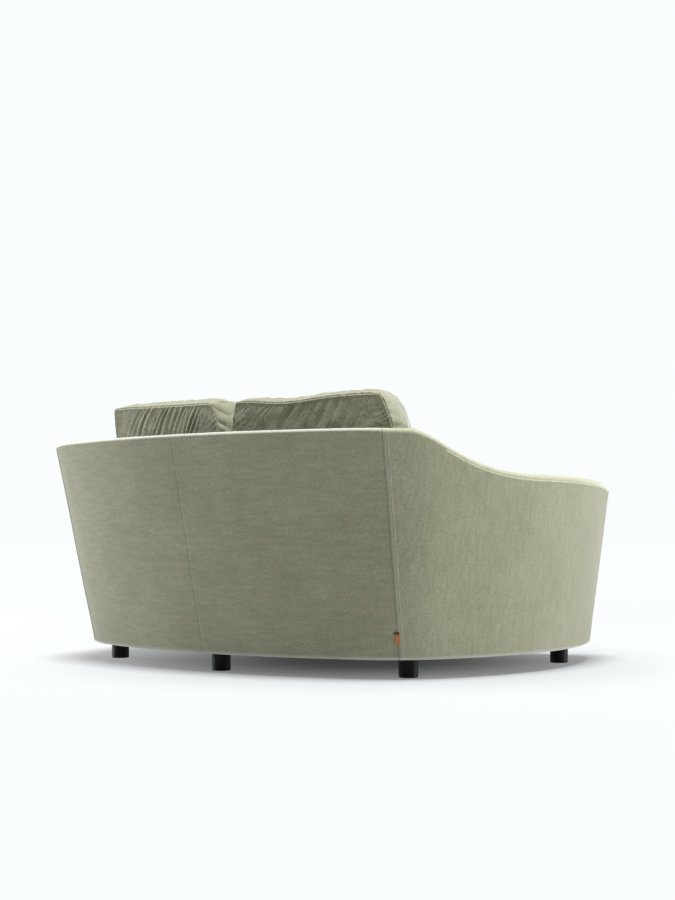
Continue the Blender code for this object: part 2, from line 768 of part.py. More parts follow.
def crossing(first, second):
    """Where two lines of points cross in plan: the numbers of points passed on each, with fractions."""
    for i, (a, b) in enumerate(zip(first, first[1:])):
        for j, (c, d) in enumerate(zip(second, second[1:])):
            ab, cd, ac = b - a, d - c, c - a
            across = ab.x * cd.y - ab.y * cd.x
            if across == 0.0:
                continue
            t = (ac.x * cd.y - ac.y * cd.x) / across
            u = (ac.x * ab.y - ac.y * ab.x) / across
            if 0.0 <= t <= 1.0 and 0.0 <= u <= 1.0:
                return i + t, j + u
    raise ValueError("the arm's inner face and the front edge don't meet")


def resampled(points, start, end, count):
    """Evenly spaced points on a line of points, between two of crossing's places on it."""
    low = int(start)
    first = points[low].lerp(points[min(low + 1, len(points) - 1)], start - low)
    high = int(end)
    last = points[high].lerp(points[min(high + 1, len(points) - 1)], end - high)
    kept = [first] + points[low + 1 : high + 1] + [last]
    steps = [(b - a).length for a, b in zip(kept, kept[1:])]
    total = sum(steps)
    found = []
    for number in range(count):
        left = total * number / (count - 1)
        for a, b, step in zip(kept, kept[1:], steps):
            if left <= step or b is kept[-1]:
                found.append(a.lerp(b, min(left / step, 1.0) if step else 0.0))
                break
            left -= step
    return found


def seat_edges(clearance, overhang, height, count):
    """The outline of the right half of the seat at a height: back, outer side and front edges, from the middle out."""
    inner = line_on_wall(WALL_CHAIN, INNER_MIDDLE, SIDE_END + TURN_LENGTH, -clearance, height)
    inner.append(inner[-1] + (inner[-1] - inner[-2]).normalized() * ARM_END_RADIUS * 2.0)
    front = line_on_wall(FRONT_CHAIN, 0.0, FRONT_MIDDLE - SIDE_END - END_LENGTH, -overhang, height)
    inner_at, front_at = crossing(inner, front)
    corner = INNER_MIDDLE - SEAT_CORNER_AT
    corner_at = sum(1 for s in INNER if s.at >= corner) - 1.0
    back = resampled(inner, 0.0, corner_at, count)
    side = resampled(inner, corner_at, inner_at, count)
    return back, side, resampled(front, 0.0, front_at, count)


def make_cloths(cutters):
    count = 16
    back, side, front = seat_edges(GAP, -DECK_SETBACK, DECK, count)
    half = back + side[1:] + list(reversed(front))[1:]
    mirrored = [Vector((-p.x, p.y, p.z)) for p in reversed(half[1:-1])]
    flat_sheet("deck_cloth", half + mirrored, DECK, CLOTH, DECK_CLOTH)

    half = line_on_wall(BASE_CHAIN, 0.0, FRONT_MIDDLE, FRAME_DEPTH, BOTTOM)
    mirrored = [Vector((-p.x, p.y, p.z)) for p in reversed(half[1:-1])]
    dust = flat_sheet("dust_cover", half + mirrored, BOTTOM, CLOTH, DUST_CLOTH)
    for cutter in cutters:
        cut(dust, cutter)


# Legs: turned, stained wood, each on a hanger bolt through the dust cover into a base plate


def turned(name, profile, place, facets, material):
    """A profile of radii and heights, from the axis round to the axis, spun about Z."""
    bm = bmesh.new()
    verts = [bm.verts.new((radius, 0.0, height)) for radius, height in profile]
    for low, high in zip(verts, verts[1:]):
        bm.edges.new((low, high))
    mesh = bpy.data.meshes.new(name)
    bm.to_mesh(mesh)
    bm.free()
    made = add_object(name, mesh, material)
    made.location = place
    screw = made.modifiers.new("turning", "SCREW")
    screw.steps = screw.render_steps = facets
    screw.use_merge_vertices = True
    screw.merge_threshold = GAP / 8
    return made


def cylinder(name, diameter, height, place, facets, material, collection=SOFA):
    bm = bmesh.new()
    radius = diameter / 2
    bmesh.ops.create_cone(
        bm, cap_ends=True, segments=facets, radius1=radius, radius2=radius, depth=height,
        matrix=Matrix.Rotation(math.pi / facets, 4, "Z"),
    )
    made = add_object(name, mesh_from(name, bm), material, collection)
    made.location = place
    return shade(made)


def leg_places():
    front = FRONT_LEG_AT
    places = {"rear_centre": on_wall(OUTER, 0.0, REAR_LEG_INSET, BOTTOM)}
    places["front_centre"] = on_wall(FRONT_CHAIN, 0.0, FRONT_LEG_INSET, BOTTOM)
    for name, sign in both("rear"):
        places[name] = on_wall(OUTER, sign * REAR_LEG_AT, REAR_LEG_INSET, BOTTOM)
    for name, sign in both("front"):
        places[name] = on_wall(OUTER, sign * front, FRONT_LEG_INSET, BOTTOM)
    return places


def make_legs():
    """The legs and their bolts. Returns the cutters of the bolt holes."""
    radius, bore = LEG_DIAMETER / 2, BOLT_DIAMETER / 2 + BORE_CLEARANCE
    floor_of_bore = LEG_HEIGHT - BOLT_IN_LEG - GAP
    profile = (
        (0.0, floor_of_bore),
        (bore, floor_of_bore),
        (bore, LEG_HEIGHT),
        (radius - LEG_CHAMFER, LEG_HEIGHT),
        (radius, LEG_HEIGHT - LEG_CHAMFER),
        (radius, LEG_CHAMFER),
        (radius - LEG_CHAMFER, 0.0),
        (0.0, 0.0),
    )
    bolt_low, bolt_high = LEG_HEIGHT - BOLT_IN_LEG, PLATE_BOTTOM + BOLT_IN_PLATE
    cutters = []
    for name, place in leg_places().items():
        leg = turned(f"leg_{name}", profile, (place.x, place.y, 0.0), LEG_FACETS, BLACK_WOOD)
        shade(leg)
        middle = (place.x, place.y, (bolt_low + bolt_high) / 2)
        cylinder(f"bolt_{name}", BOLT_DIAMETER, bolt_high - bolt_low, middle, BOLT_FACETS, ZINC)
        top, low = PLATE_TOP + CUT_OVERRUN, BOTTOM - CUT_OVERRUN
        cutter = cylinder(
            f"hole_{name}", 2.0 * bore, top - low, (place.x, place.y, (top + low) / 2),
            BOLT_FACETS, ZINC, CUTTERS,
        )
        cutter.hide_render = True
        cutter.display_type = "WIRE"
        cutters.append(cutter)
    return cutters


# Cushions: a coarse cage, smoothed by subdivision


def cushion(name, place, material):
    """place(u, v, w) puts a point of the unit cage in space. u runs across, v from back to front, w up."""
    bm = bmesh.new()
    bmesh.ops.create_cube(bm, size=1.0)
    bmesh.ops.translate(bm, vec=(0.5, 0.5, 0.5), verts=bm.verts)
    rings = len(CAGE_SHARES) - 1
    bmesh.ops.subdivide_edges(bm, edges=bm.edges, cuts=rings - 1, use_grid_fill=True)
    for vertex in bm.verts:
        u, v, w = (CAGE_SHARES[round(value * rings)] for value in vertex.co)
        vertex.co = place(u, v, w)
    made = add_object(name, mesh_from(name, bm), material)
    smoothing = made.modifiers.new("stuffing", "SUBSURF")
    smoothing.levels = smoothing.render_levels = 1
    made.data.shade_smooth()
    return made


def hump(share):
    return math.sin(math.pi * share)


def make_seat_cushions():
    count = 41

    def edges_at(height):
        back, side, front = seat_edges(SEAT_CLEARANCE, SEAT_OVERHANG, height, count)
        half = SEAT_PARTING / 2
        for line in (back, front):
            line[0] = Vector((half, line[0].y, line[0].z))
        return back, side, front

    def on_line(line, share):
        spot = share * (len(line) - 1)
        low = min(int(spot), len(line) - 2)
        return line[low].lerp(line[low + 1], spot - low)

    def patch(edges, u, v):
        """A point of the surface that the four edges span."""
        back, side, front = edges
        inner = back[0].lerp(front[0], v)
        outer = on_line(side, v)
        near, far = on_line(back, u), on_line(front, u)
        corners = back[0].lerp(back[-1], u).lerp(front[0].lerp(front[-1], u), v)
        return inner.lerp(outer, u) + near.lerp(far, v) - corners

    levels = {}
    for name, sign in both("seat_cushion"):

        def place(u, v, w, sign=sign):
            height = SEAT_BOTTOM + GAP + (SEAT_THICKNESS - GAP) * w
            if w not in levels:
                levels[w] = edges_at(height)
            spot = patch(levels[w], u, v)
            middle = patch(levels[w], 0.5, 0.5)
            pull = SEAT_DRAW_IN * (hump(v) * abs(2.0 * u - 1.0) ** 4 + hump(u) * abs(2.0 * v - 1.0) ** 4)
            spot += (middle - spot).normalized() * pull if (middle - spot).length > GAP else Vector()
            crown = SEAT_CROWN * w * math.sqrt(hump(u) * hump(v))
            return Vector((sign * spot.x, spot.y, height + crown))

        cushion(name, place, CUSHION_VELVET)


def make_back_cushions():
    turn, lean = BACK_CUSHION_TURN, math.tan(BACK_CUSHION_LEAN)
    across = Vector((math.cos(turn), -math.sin(turn), 0.0))
    forward = Vector((-math.sin(turn), -math.cos(turn), 0.0))
    wall = on_wall(WALL_CHAIN, INNER_MIDDLE, 0.0, BACK_CUSHION_BOTTOM)
    # The two cushions meet at their front corners and part towards the wall
    inner_end = BACK_CUSHION_FROM_MIDDLE + BACK_CUSHION_FOOT * math.sin(turn)
    corner = Vector((inner_end, wall.y - BACK_CUSHION_FROM_WALL, BACK_CUSHION_BOTTOM))
    for name, sign in both("back_cushion"):

        def place(u, v, w, sign=sign):
            thickness = BACK_CUSHION_FOOT + (BACK_CUSHION_HEAD - BACK_CUSHION_FOOT) * w
            swell = BACK_CUSHION_CROWN * v - BACK_CUSHION_BULGE * (1.0 - v)
            deep = thickness * v + swell * math.sqrt(hump(u) * hump(w))
            up = BACK_CUSHION_HEIGHT * w + BACK_CUSHION_TOP_CROWN * w**3 * math.sqrt(hump(u) * hump(v))
            pull = BACK_CUSHION_DRAW_IN * hump(w) * (1.0 - 2.0 * u)
            spot = corner + across * (BACK_CUSHION_WIDTH * u + pull) + forward * (deep - lean * up)
            return Vector((sign * spot.x, spot.y, spot.z + up))

        cushion(name, place, CUSHION_VELVET)


def main():
    make_outer_panels()
    make_top_rolls()
    make_inner_pads()
    make_front_border()
    make_leather_tab()
    plates = make_base_plates()
    make_top_rails()
    make_posts()
    make_shell_boards()
    make_seat_rails()
    make_bearer()
    make_springs()
    holes = make_legs()
    for plate in plates:
        for hole in holes:
            cut(plate, hole)
    make_cloths(holes)
    make_seat_cushions()
    make_back_cushions()


main()
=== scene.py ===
# %% [markdown]
# # A curved velvet sofa, dressed in cells
# The sofa was first built as a set of plain solids: frame, panels, pads, cushions and legs.
# This script loads those solids as a fixed frame and gives them their looks. Every soft panel is
# worked out again as a fine surface with numpy, the loose cushions are inflated with Blender's
# Cloth, and each finish is made from nodes, with no pictures.

import json
import math

import bmesh
import bpy
import numpy as np
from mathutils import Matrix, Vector


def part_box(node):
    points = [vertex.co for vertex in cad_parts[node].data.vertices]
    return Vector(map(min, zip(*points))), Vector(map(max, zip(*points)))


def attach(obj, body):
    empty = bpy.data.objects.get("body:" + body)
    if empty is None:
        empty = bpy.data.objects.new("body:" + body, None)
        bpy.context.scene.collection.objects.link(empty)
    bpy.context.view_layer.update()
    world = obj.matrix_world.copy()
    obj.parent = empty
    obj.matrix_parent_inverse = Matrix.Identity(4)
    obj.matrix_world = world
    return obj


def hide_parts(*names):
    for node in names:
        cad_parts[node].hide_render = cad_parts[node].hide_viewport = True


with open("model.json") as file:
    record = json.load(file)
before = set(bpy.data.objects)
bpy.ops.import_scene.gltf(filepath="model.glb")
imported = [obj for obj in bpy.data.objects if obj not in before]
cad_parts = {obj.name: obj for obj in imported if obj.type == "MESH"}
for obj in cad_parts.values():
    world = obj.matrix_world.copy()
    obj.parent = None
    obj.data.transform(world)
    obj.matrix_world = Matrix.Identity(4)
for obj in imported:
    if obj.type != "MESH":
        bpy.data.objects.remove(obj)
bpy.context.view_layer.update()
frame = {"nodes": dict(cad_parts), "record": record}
scene = bpy.context.scene
MM = 0.001
SIDES = (("left", -1.0), ("right", 1.0))

# %% [markdown]
# ## The plan of the wall
# Back, corners, sides and arm ends are arcs that follow each other. A place on the wall is the
# distance s along the outer bottom edge, counted from the middle of the back (negative on the
# left), the depth into the wall, and the height. A flat wall bent by a modifier would lean the
# same way everywhere, but this one leans out by a different amount at the back, the sides and the
# arm ends. So for each heading the outer face is a plane, and the envelope of those planes gives
# a surface that real cloth can cover without a fold.

# %% Sizes shared with the solids
BACK_RADIUS, CORNER_RADIUS, SIDE_RADIUS = 1550 * MM, 342 * MM, 1025 * MM
BACK_ANGLE, CORNER_ANGLE, SIDE_ANGLE = (math.radians(a) for a in (20.25, 41.7, 51.8))
ARM_END_RADIUS = 130 * MM
BOTTOM = 58.6 * MM
BACK_RIM, ARM_RIM, ARM_FRONT_FALL = 737 * MM, 616.5 * MM, 19.5 * MM
BACK_SLOPE, SIDE_SLOPE = math.tan(math.radians(12.65)), math.tan(math.radians(7.15))
FRONT_SLOPE = math.tan(math.radians(6.0))
EASE_FROM, EASE_TO = math.radians(19.0), math.radians(92.0)
WALL, ROLL_RADIUS = 140 * MM, 19 * MM
DROP_START, DROP_LENGTH = 740 * MM, 460 * MM
DROP_EASE_SHARE, DROP_POWER_SHARE = 0.12, 3.11
SEAM_AT, INNER_CORNER_AT = 666 * MM, 700 * MM
BORDER_HEIGHT = 152 * MM
FRONT_DEPTH = 950 * MM

BACK_END = BACK_RADIUS * BACK_ANGLE
CORNER_END = BACK_END + CORNER_RADIUS * CORNER_ANGLE
SIDE_END = CORNER_END + SIDE_RADIUS * SIDE_ANGLE
SIDE_HEADING = BACK_ANGLE + CORNER_ANGLE + SIDE_ANGLE
END_TURN = math.pi - SIDE_HEADING
INNER_END_RADIUS = (WALL - ARM_END_RADIUS * (1 - math.cos(END_TURN))) / (1 + math.cos(END_TURN))
TIP_AT = SIDE_END + ARM_END_RADIUS * END_TURN
INNER_START = TIP_AT + INNER_END_RADIUS * (math.pi - END_TURN)
ARM_SEAM_AT = SIDE_END + ARM_END_RADIUS * (math.radians(136.0) - SIDE_HEADING)
BORDER_TOP = BOTTOM + BORDER_HEIGHT
print("side ends at", round(SIDE_END, 3), "arm tip at", round(TIP_AT, 3))


# %% Headings and arcs
def normals(heading):
    """Unit vectors outwards: sine and cosine of the heading, which turns from +Y towards +X."""
    return np.stack([np.sin(heading), np.cos(heading)], -1)


def tangents(heading):
    """The normals turned a quarter: the way that s runs."""
    return np.stack([np.cos(heading), -np.sin(heading)], -1)


def arcs_from(start, heading, at, arcs):
    """A list of arcs: each one's first distance, heading, centre and radius, which is negative
    where the line is hollow. Each arc starts where the last one ends."""
    found = []
    point = np.array(start, float)
    for radius, angle in arcs:
        turn = math.copysign(radius, angle)
        centre = point - normals(np.array(heading)) * turn
        found.append((at, heading, centre, turn))
        heading += angle
        at += radius * abs(angle)
        point = centre + normals(np.array(heading)) * turn
    return found, point


print("the middle of the back faces", normals(np.array(0.0)))

# %% The arcs of wall and base
OUTER_ARCS, SIDE_POINT = arcs_from(
    (0.0, 0.0),
    0.0,
    0.0,
    ((BACK_RADIUS, BACK_ANGLE), (CORNER_RADIUS, CORNER_ANGLE), (SIDE_RADIUS, SIDE_ANGLE)),
)
END_ARCS, _ = arcs_from(
    SIDE_POINT,
    SIDE_HEADING,
    SIDE_END,
    ((ARM_END_RADIUS, END_TURN), (INNER_END_RADIUS, math.pi - END_TURN)),
)
END_CENTRE = END_ARCS[0][2]
FRONT_TO_CENTRE = END_CENTRE[1] + FRONT_DEPTH
FRONT_RADIUS = (END_CENTRE[0] ** 2 + FRONT_TO_CENTRE**2 - ARM_END_RADIUS**2) / (
    2.0 * (ARM_END_RADIUS - FRONT_TO_CENTRE)
)
FRONT_TURN = math.atan2(END_CENTRE[0], FRONT_RADIUS + FRONT_TO_CENTRE)
HOLLOW_AT = SIDE_END + ARM_END_RADIUS * (math.pi + FRONT_TURN - SIDE_HEADING)
FRONT_MIDDLE = HOLLOW_AT + FRONT_RADIUS * FRONT_TURN
FRONT_ARCS, _ = arcs_from(
    SIDE_POINT,
    SIDE_HEADING,
    SIDE_END,
    ((ARM_END_RADIUS, math.pi + FRONT_TURN - SIDE_HEADING), (FRONT_RADIUS, -FRONT_TURN)),
)
WALL_ARCS = OUTER_ARCS + END_ARCS
BASE_ARCS = OUTER_ARCS + FRONT_ARCS
print("arcs of the wall:", len(WALL_ARCS), "of the base:", len(BASE_ARCS))


# %% From a distance to a point
def smooth(share):
    """Zero to one with flat ends: three times the square less twice the cube."""
    share = np.clip(share, 0.0, 1.0)
    return share * share * (3.0 - 2.0 * share)


def read_arcs(arcs, at):
    """Points, headings and signed radii of a chain of arcs at distances of zero or more: the
    heading turns by the distance over the radius, and the point is a radius from the centre."""
    starts = np.array([arc[0] for arc in arcs])
    which = np.clip(np.searchsorted(starts, at, side="right") - 1, 0, len(arcs) - 1)
    heading0 = np.array([arc[1] for arc in arcs])[which]
    centres = np.array([arc[2] for arc in arcs])[which]
    turns = np.array([arc[3] for arc in arcs])[which]
    heading = heading0 + (at - starts[which]) / turns
    return centres + normals(heading) * turns[..., None], heading, turns


print("the side ends at", read_arcs(WALL_ARCS, np.array([SIDE_END]))[0].round(3))

# %% How the face leans
SIDE_LEAN = normals(np.array(SIDE_HEADING)) * SIDE_SLOPE


def lean_at(at, heading, border=False):
    """How far the face moves outwards for each metre up.

    A face of slope f leans by the normal times f, plus the tangent times the change of f with the
    heading. The slope follows a smooth step, whose own change is six times the share times the
    rest of it. Round the arm's end the whole wall leans one way.
    """
    share = (heading - EASE_FROM) / (EASE_TO - EASE_FROM)
    slope = BACK_SLOPE + (SIDE_SLOPE - BACK_SLOPE) * smooth(share)
    inside = (share > 0.0) & (share < 1.0)
    pace = np.where(inside, 6.0 * share * (1.0 - share), 0.0) / (EASE_TO - EASE_FROM)
    change = pace * (SIDE_SLOPE - BACK_SLOPE)
    lean = normals(heading) * slope[..., None] + tangents(heading) * change[..., None]
    lean = np.where((at < SIDE_END)[..., None], lean, SIDE_LEAN)
    if border:
        ease = smooth((at - ARM_SEAM_AT) / (HOLLOW_AT - ARM_SEAM_AT))[..., None]
        lean = lean * (1.0 - ease) + np.array([0.0, -FRONT_SLOPE]) * ease
    return lean


print("slopes of back and side:", round(BACK_SLOPE, 3), round(SIDE_SLOPE, 3))


# %% The rim, and points on the wall
def rim_height(at):
    """Level along the back, an S curve down at the corner, and a slight fall along the arm: the
    curve is one less a power of the rest of its eased share, and the fall grows as a square."""
    share = np.clip((at - DROP_START) / DROP_LENGTH, 0.0, 1.0)
    eased = share * share / (share + DROP_EASE_SHARE) * (1.0 + DROP_EASE_SHARE)
    fallen = 1.0 - (1.0 - eased) ** DROP_POWER_SHARE
    arm_start = DROP_START + DROP_LENGTH
    forward = np.clip((at - arm_start) / (SIDE_END - arm_start), 0.0, 1.0)
    return BACK_RIM - (BACK_RIM - ARM_RIM) * fallen - ARM_FRONT_FALL * forward**2


BACK_REACH = BACK_SLOPE * (BACK_RIM - ROLL_RADIUS - BOTTOM)
ORIGIN_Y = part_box("back_panel_left")[1].y - BACK_REACH


def on_wall(at, depth, height, arcs=WALL_ARCS, border=False):
    """Points in space for arrays of distance, depth and height: the plan's point, moved by the
    lean times the height and by the depth against the normal. Negative distances are mirrored."""
    at, depth, height = np.broadcast_arrays(at, depth, height)
    side = np.where(at < 0.0, -1.0, 1.0)
    point, heading, _ = read_arcs(arcs, np.abs(at))
    lean = lean_at(np.abs(at), heading, border)
    flat = point + lean * (height - BOTTOM)[..., None] - normals(heading) * depth[..., None]
    return np.stack([flat[..., 0] * side, flat[..., 1] + ORIGIN_Y, height], -1)


def inner_wall(at, clearance, height):
    """Points off the wall's inner face, which runs beside the outer one a wall's thickness in."""
    return on_wall(at, WALL + clearance, height, arcs=OUTER_ARCS)


print("origin of the plan at y =", round(ORIGIN_Y, 4))

# %% [markdown]
# ## Camera, light and floor
# The sofa is seen from behind, from a camera as low as the seat. A tilted camera would make its
# upright lines lean, so the lens looks level and its view is shifted up a little. A big soft sun
# overhead pales the rims, and two wide softboxes low at the sides model the bend of the wall. A
# lit dome would do the same job with flatter shading.

# %% Camera
PHOTO_HEIGHT, FOCAL_PIXELS, HORIZON_ROW = 900, 1468.0, 535.9
CAMERA_FROM_BACK, CAMERA_HEIGHT = (-3.0820, 3.4379), 0.4269
LOOKING = (0.59686, -0.80234, 0.0)
SENSOR = 36.0


def put_in_scene(name, data):
    """A new object for its data, linked into the scene."""
    made = bpy.data.objects.new(name, data)
    scene.collection.objects.link(made)
    return made


camera_data = bpy.data.cameras.new("camera")
camera = put_in_scene("camera", camera_data)
camera.location = (CAMERA_FROM_BACK[0], ORIGIN_Y + CAMERA_FROM_BACK[1], CAMERA_HEIGHT)
camera.rotation_euler = Vector(LOOKING).to_track_quat("-Z", "Y").to_euler()
camera_data.sensor_width = SENSOR
camera_data.lens = SENSOR * FOCAL_PIXELS / PHOTO_HEIGHT
camera_data.shift_y = (HORIZON_ROW - PHOTO_HEIGHT / 2) / PHOTO_HEIGHT
bpy.context.scene.camera = camera
print("lens mm:", round(camera_data.lens, 2), "shift:", round(camera_data.shift_y, 4))

# %% World and lights
SKY, SHADE_LIGHT = (0.947, 0.982, 0.991), 0.13
SUN_ANGLE, SOFTBOX_SIZE = 17.0, (2.2, 1.4)
scene.view_settings.view_transform = "Standard"
scene.view_settings.look = "None"

world = bpy.data.worlds.new("studio")
scene.world = world
world.use_nodes = True
nodes, links = world.node_tree.nodes, world.node_tree.links
seen, lighting = nodes["Background"], nodes.new("ShaderNodeBackground")
seen.inputs["Color"].default_value = (*SKY, 1.0)
lighting.inputs["Color"].default_value = (1.0, 1.0, 1.0, 1.0)
lighting.inputs["Strength"].default_value = SHADE_LIGHT
choose, ray = nodes.new("ShaderNodeMixShader"), nodes.new("ShaderNodeLightPath")
links.new(ray.outputs["Is Camera Ray"], choose.inputs["Fac"])
links.new(lighting.outputs["Background"], choose.inputs[1])
links.new(seen.outputs["Background"], choose.inputs[2])
links.new(choose.outputs["Shader"], nodes["World Output"].inputs["Surface"])


def add_light(name, kind, place, target, strength):
    """A light at a place, aimed at a target. Returns the light's data."""
    data = bpy.data.lights.new(name, kind)
    data.energy = strength
    made = put_in_scene(name, data)
    made.location = place
    made.rotation_euler = (Vector(target) - Vector(place)).to_track_quat("-Z", "Y").to_euler()
    return data


sun = add_light("overhead_sun", "SUN", (-0.56, 0.72, 5.0), (0.0, 0.0, 0.0), 7.1)
sun.angle = math.radians(SUN_ANGLE)
for name, place, target, watts in (
    ("right_softbox", (-3.9, -2.6, 0.65), (-0.9, -0.3, 0.3), 122.0),
    ("left_softbox", (4.4, 1.3, 0.65), (0.7, 0.3, 0.3), 138.0),
):
    softbox = add_light(name, "AREA", place, target, watts)
    softbox.shape = "RECTANGLE"
    softbox.size, softbox.size_y = SOFTBOX_SIZE
    print(name, "watts:", watts)

# %% Floor
FLOOR_REACH = 60.0
floor_mesh = bpy.data.meshes.new("floor")
signs = ((-1, -1), (1, -1), (1, 1), (-1, 1))
corners = [(x * FLOOR_REACH, y * FLOOR_REACH, 0.0) for x, y in signs]
floor_mesh.from_pydata(corners, [], [(0, 1, 2, 3)])
floor = put_in_scene("floor", floor_mesh)
print("floor reaches", FLOOR_REACH, "m")

# %% [markdown]
# ## From arrays to meshes
# A closed strip of upholstery is a loop of points carried along the wall. Extruding and bending
# a block by hand could make one, but not the same way for both sides. Here the points form a
# grid, so the faces follow from row and column numbers, and only the two ends need caps.


# %% Grids and loops to meshes
def new_object(name, points, faces, material):
    """A mesh object from an array of points and a list of faces, all facing outwards."""
    mesh = bpy.data.meshes.new(name)
    mesh.from_pydata(np.asarray(points).reshape(-1, 3).tolist(), [], faces)
    mesh.validate()
    bm = bmesh.new()
    bm.from_mesh(mesh)
    bmesh.ops.recalc_face_normals(bm, faces=bm.faces)
    if bm.calc_volume(signed=True) < 0.0:
        bmesh.ops.reverse_faces(bm, faces=bm.faces)
    bm.to_mesh(mesh)
    bm.free()
    mesh.shade_smooth()
    mesh.materials.append(material)
    return put_in_scene(name, mesh)


def quads(rows, columns, closed):
    """Faces of a grid: each corner's number, its right neighbour's, and the same one row up."""
    across = columns if closed else columns - 1
    row, column = np.meshgrid(np.arange(rows - 1), np.arange(across), indexing="ij")
    right = (column + 1) % columns
    low, high = row * columns, (row + 1) * columns
    corners = (low + column, low + right, high + right, high + column)
    return np.stack(corners, -1).reshape(-1, 4).tolist()


def loft(name, rings, material, edge=None):
    """A closed skin over rings of points, with a cap of one face at each end. The edge values
    give how strongly a painted highlight pales the cloth."""
    rows, columns = rings.shape[:2]
    faces = quads(rows, columns, closed=True)
    faces.append(list(range(columns))[::-1])
    faces.append(list(range((rows - 1) * columns, rows * columns)))
    made = new_object(name, rings, faces, material)
    if edge is not None:
        layer = made.data.attributes.new("edge", "FLOAT", "POINT")
        layer.data.foreach_set("value", np.broadcast_to(edge, rings.shape[:2]).ravel())
    return made


def mirrored(points, sign):
    """Points for one side of the sofa: as they are, or with x turned round."""
    return points * np.array([sign, 1.0, 1.0])


def length_along(line):
    """The distance along a line of points, from its first point."""
    return np.concatenate([[0.0], np.cumsum(np.linalg.norm(np.diff(line, axis=0), axis=1))])


def read_line(want, along, line):
    """The points of a line at the wanted distances along it, straight between its points."""
    return np.stack([np.interp(want, along, line[:, axis]) for axis in range(3)], -1)


def read_rows(source, name):
    """A table with three numbers a row, read from a mesh's vertices or normals."""
    values = np.empty(len(source) * 3)
    source.foreach_get(name, values)
    return values.reshape(-1, 3)


def dressed(piece, *replaced, body="frame", slot="velvet"):
    """Ride and replaced nodes of a finished piece. The slot is not used."""
    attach(piece, body)
    if replaced:
        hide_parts(*replaced)
    print(piece.name, len(piece.data.polygons), "faces")
    return piece


def noise_field(seed, size, waves=24):
    """A smooth, seeded field over two parameters: a sum of sines in random directions of about
    one wavelength, so that neighbouring pieces can share it."""
    random = np.random.default_rng(seed)
    angle = random.uniform(0.0, math.tau, waves)
    pace = math.tau / (size * random.uniform(0.6, 1.8, waves))
    phase = random.uniform(0.0, math.tau, waves)

    def field(a, b):
        """The sum for arrays a and b, scaled so that its spread stays near one."""
        total = np.zeros(np.broadcast(a, b).shape)
        for turn, step, start in zip(angle, pace, phase):
            total = total + np.sin((a * math.cos(turn) + b * math.sin(turn)) * step + start)
        return total / math.sqrt(waves)

    return field


# %% [markdown]
# ## Velvet
# Velvet is a short upright pile. Seen along its surface it looks pale, seen straight on it looks
# deep, and wherever a hand or the loom has laid the pile over it turns lighter or darker. Hair
# could show that, but on a whole sofa it is slow and can't be exported. So the Principled shader's
# sheen gives the pale edges, and soft noise at several scales gives the laid pile: broad clouds,
# faint streaks along the roll of cloth, and a fine grain. Along the rims, the hem and the corner
# seam's fold the cloth is painted paler, a painted highlight; the pieces give its strength in an
# attribute named edge.


# %% Helpers for node materials
EVEN = (1.0, 1.0, 1.0)


def new_material(name, roughness, sockets=()):
    """A Principled material with constants set on its sockets. Returns it, its tree and shader."""
    made = bpy.data.materials.new(name)
    made.use_nodes = True
    tree = made.node_tree
    shader = tree.nodes["Principled BSDF"]
    shader.inputs["Roughness"].default_value = roughness
    for socket, value in sockets:
        shader.inputs[socket].default_value = value
    return made, tree, shader


def object_place(tree):
    """A point's own place in metres: Object coordinates, as every piece sits at the origin."""
    return tree.nodes.new("ShaderNodeTexCoord").outputs["Object"]


def add_noise(tree, scale, stretch=EVEN, detail=3.0, roughness=0.55):
    """Noise on Object coordinates that are stretched first."""
    mapping = tree.nodes.new("ShaderNodeMapping")
    mapping.inputs["Scale"].default_value = stretch
    noise = tree.nodes.new("ShaderNodeTexNoise")
    for socket, value in (("Scale", scale), ("Detail", detail), ("Roughness", roughness)):
        noise.inputs[socket].default_value = value
    tree.links.new(object_place(tree), mapping.inputs["Vector"])
    tree.links.new(mapping.outputs["Vector"], noise.inputs["Vector"])
    return noise.outputs["Fac"]


def ramp(tree, value, low, high, low_colour, high_colour):
    """Two colours over a range of a value."""
    made = tree.nodes.new("ShaderNodeValToRGB")
    first, last = made.color_ramp.elements
    first.position, last.position = low, high
    first.color, last.color = (*low_colour, 1.0), (*high_colour, 1.0)
    tree.links.new(value, made.inputs["Fac"])
    return made.outputs["Color"]


# %% Mixing, ranges and bumps
def feed(tree, socket, value):
    """Link a node's output to a socket, or set a constant there."""
    if isinstance(value, bpy.types.NodeSocket):
        tree.links.new(value, socket)
    else:
        socket.default_value = value


def blended(tree, mode, share, first, second):
    """Two colours mixed in a given mode. Each of the three may be an output or a constant."""
    mix = tree.nodes.new("ShaderNodeMix")
    mix.data_type, mix.blend_type = "RGBA", mode
    feed(tree, mix.inputs["Factor"], share)
    feed(tree, mix.inputs[6], first)
    feed(tree, mix.inputs[7], second)
    return mix.outputs[2]


def ranged(tree, value, start, end, low=0.0, high=1.0, kind="LINEAR"):
    """A value between start and end carried over to low and high, and held beyond them."""
    made = tree.nodes.new("ShaderNodeMapRange")
    made.interpolation_type = kind
    limits = (("From Min", start), ("From Max", end), ("To Min", low), ("To Max", high))
    for socket, limit in limits:
        made.inputs[socket].default_value = limit
    tree.links.new(value, made.inputs["Value"])
    return made.outputs["Result"]


def bump(tree, shader, heights):
    """Bumps one after another: each is a height, a strength and a distance in metres."""
    last = None
    for height, strength, distance in heights:
        node = tree.nodes.new("ShaderNodeBump")
        node.inputs["Strength"].default_value = strength
        node.inputs["Distance"].default_value = distance
        tree.links.new(height, node.inputs["Height"])
        if last:
            tree.links.new(last, node.inputs["Normal"])
        last = node.outputs["Normal"]
    tree.links.new(last, shader.inputs["Normal"])


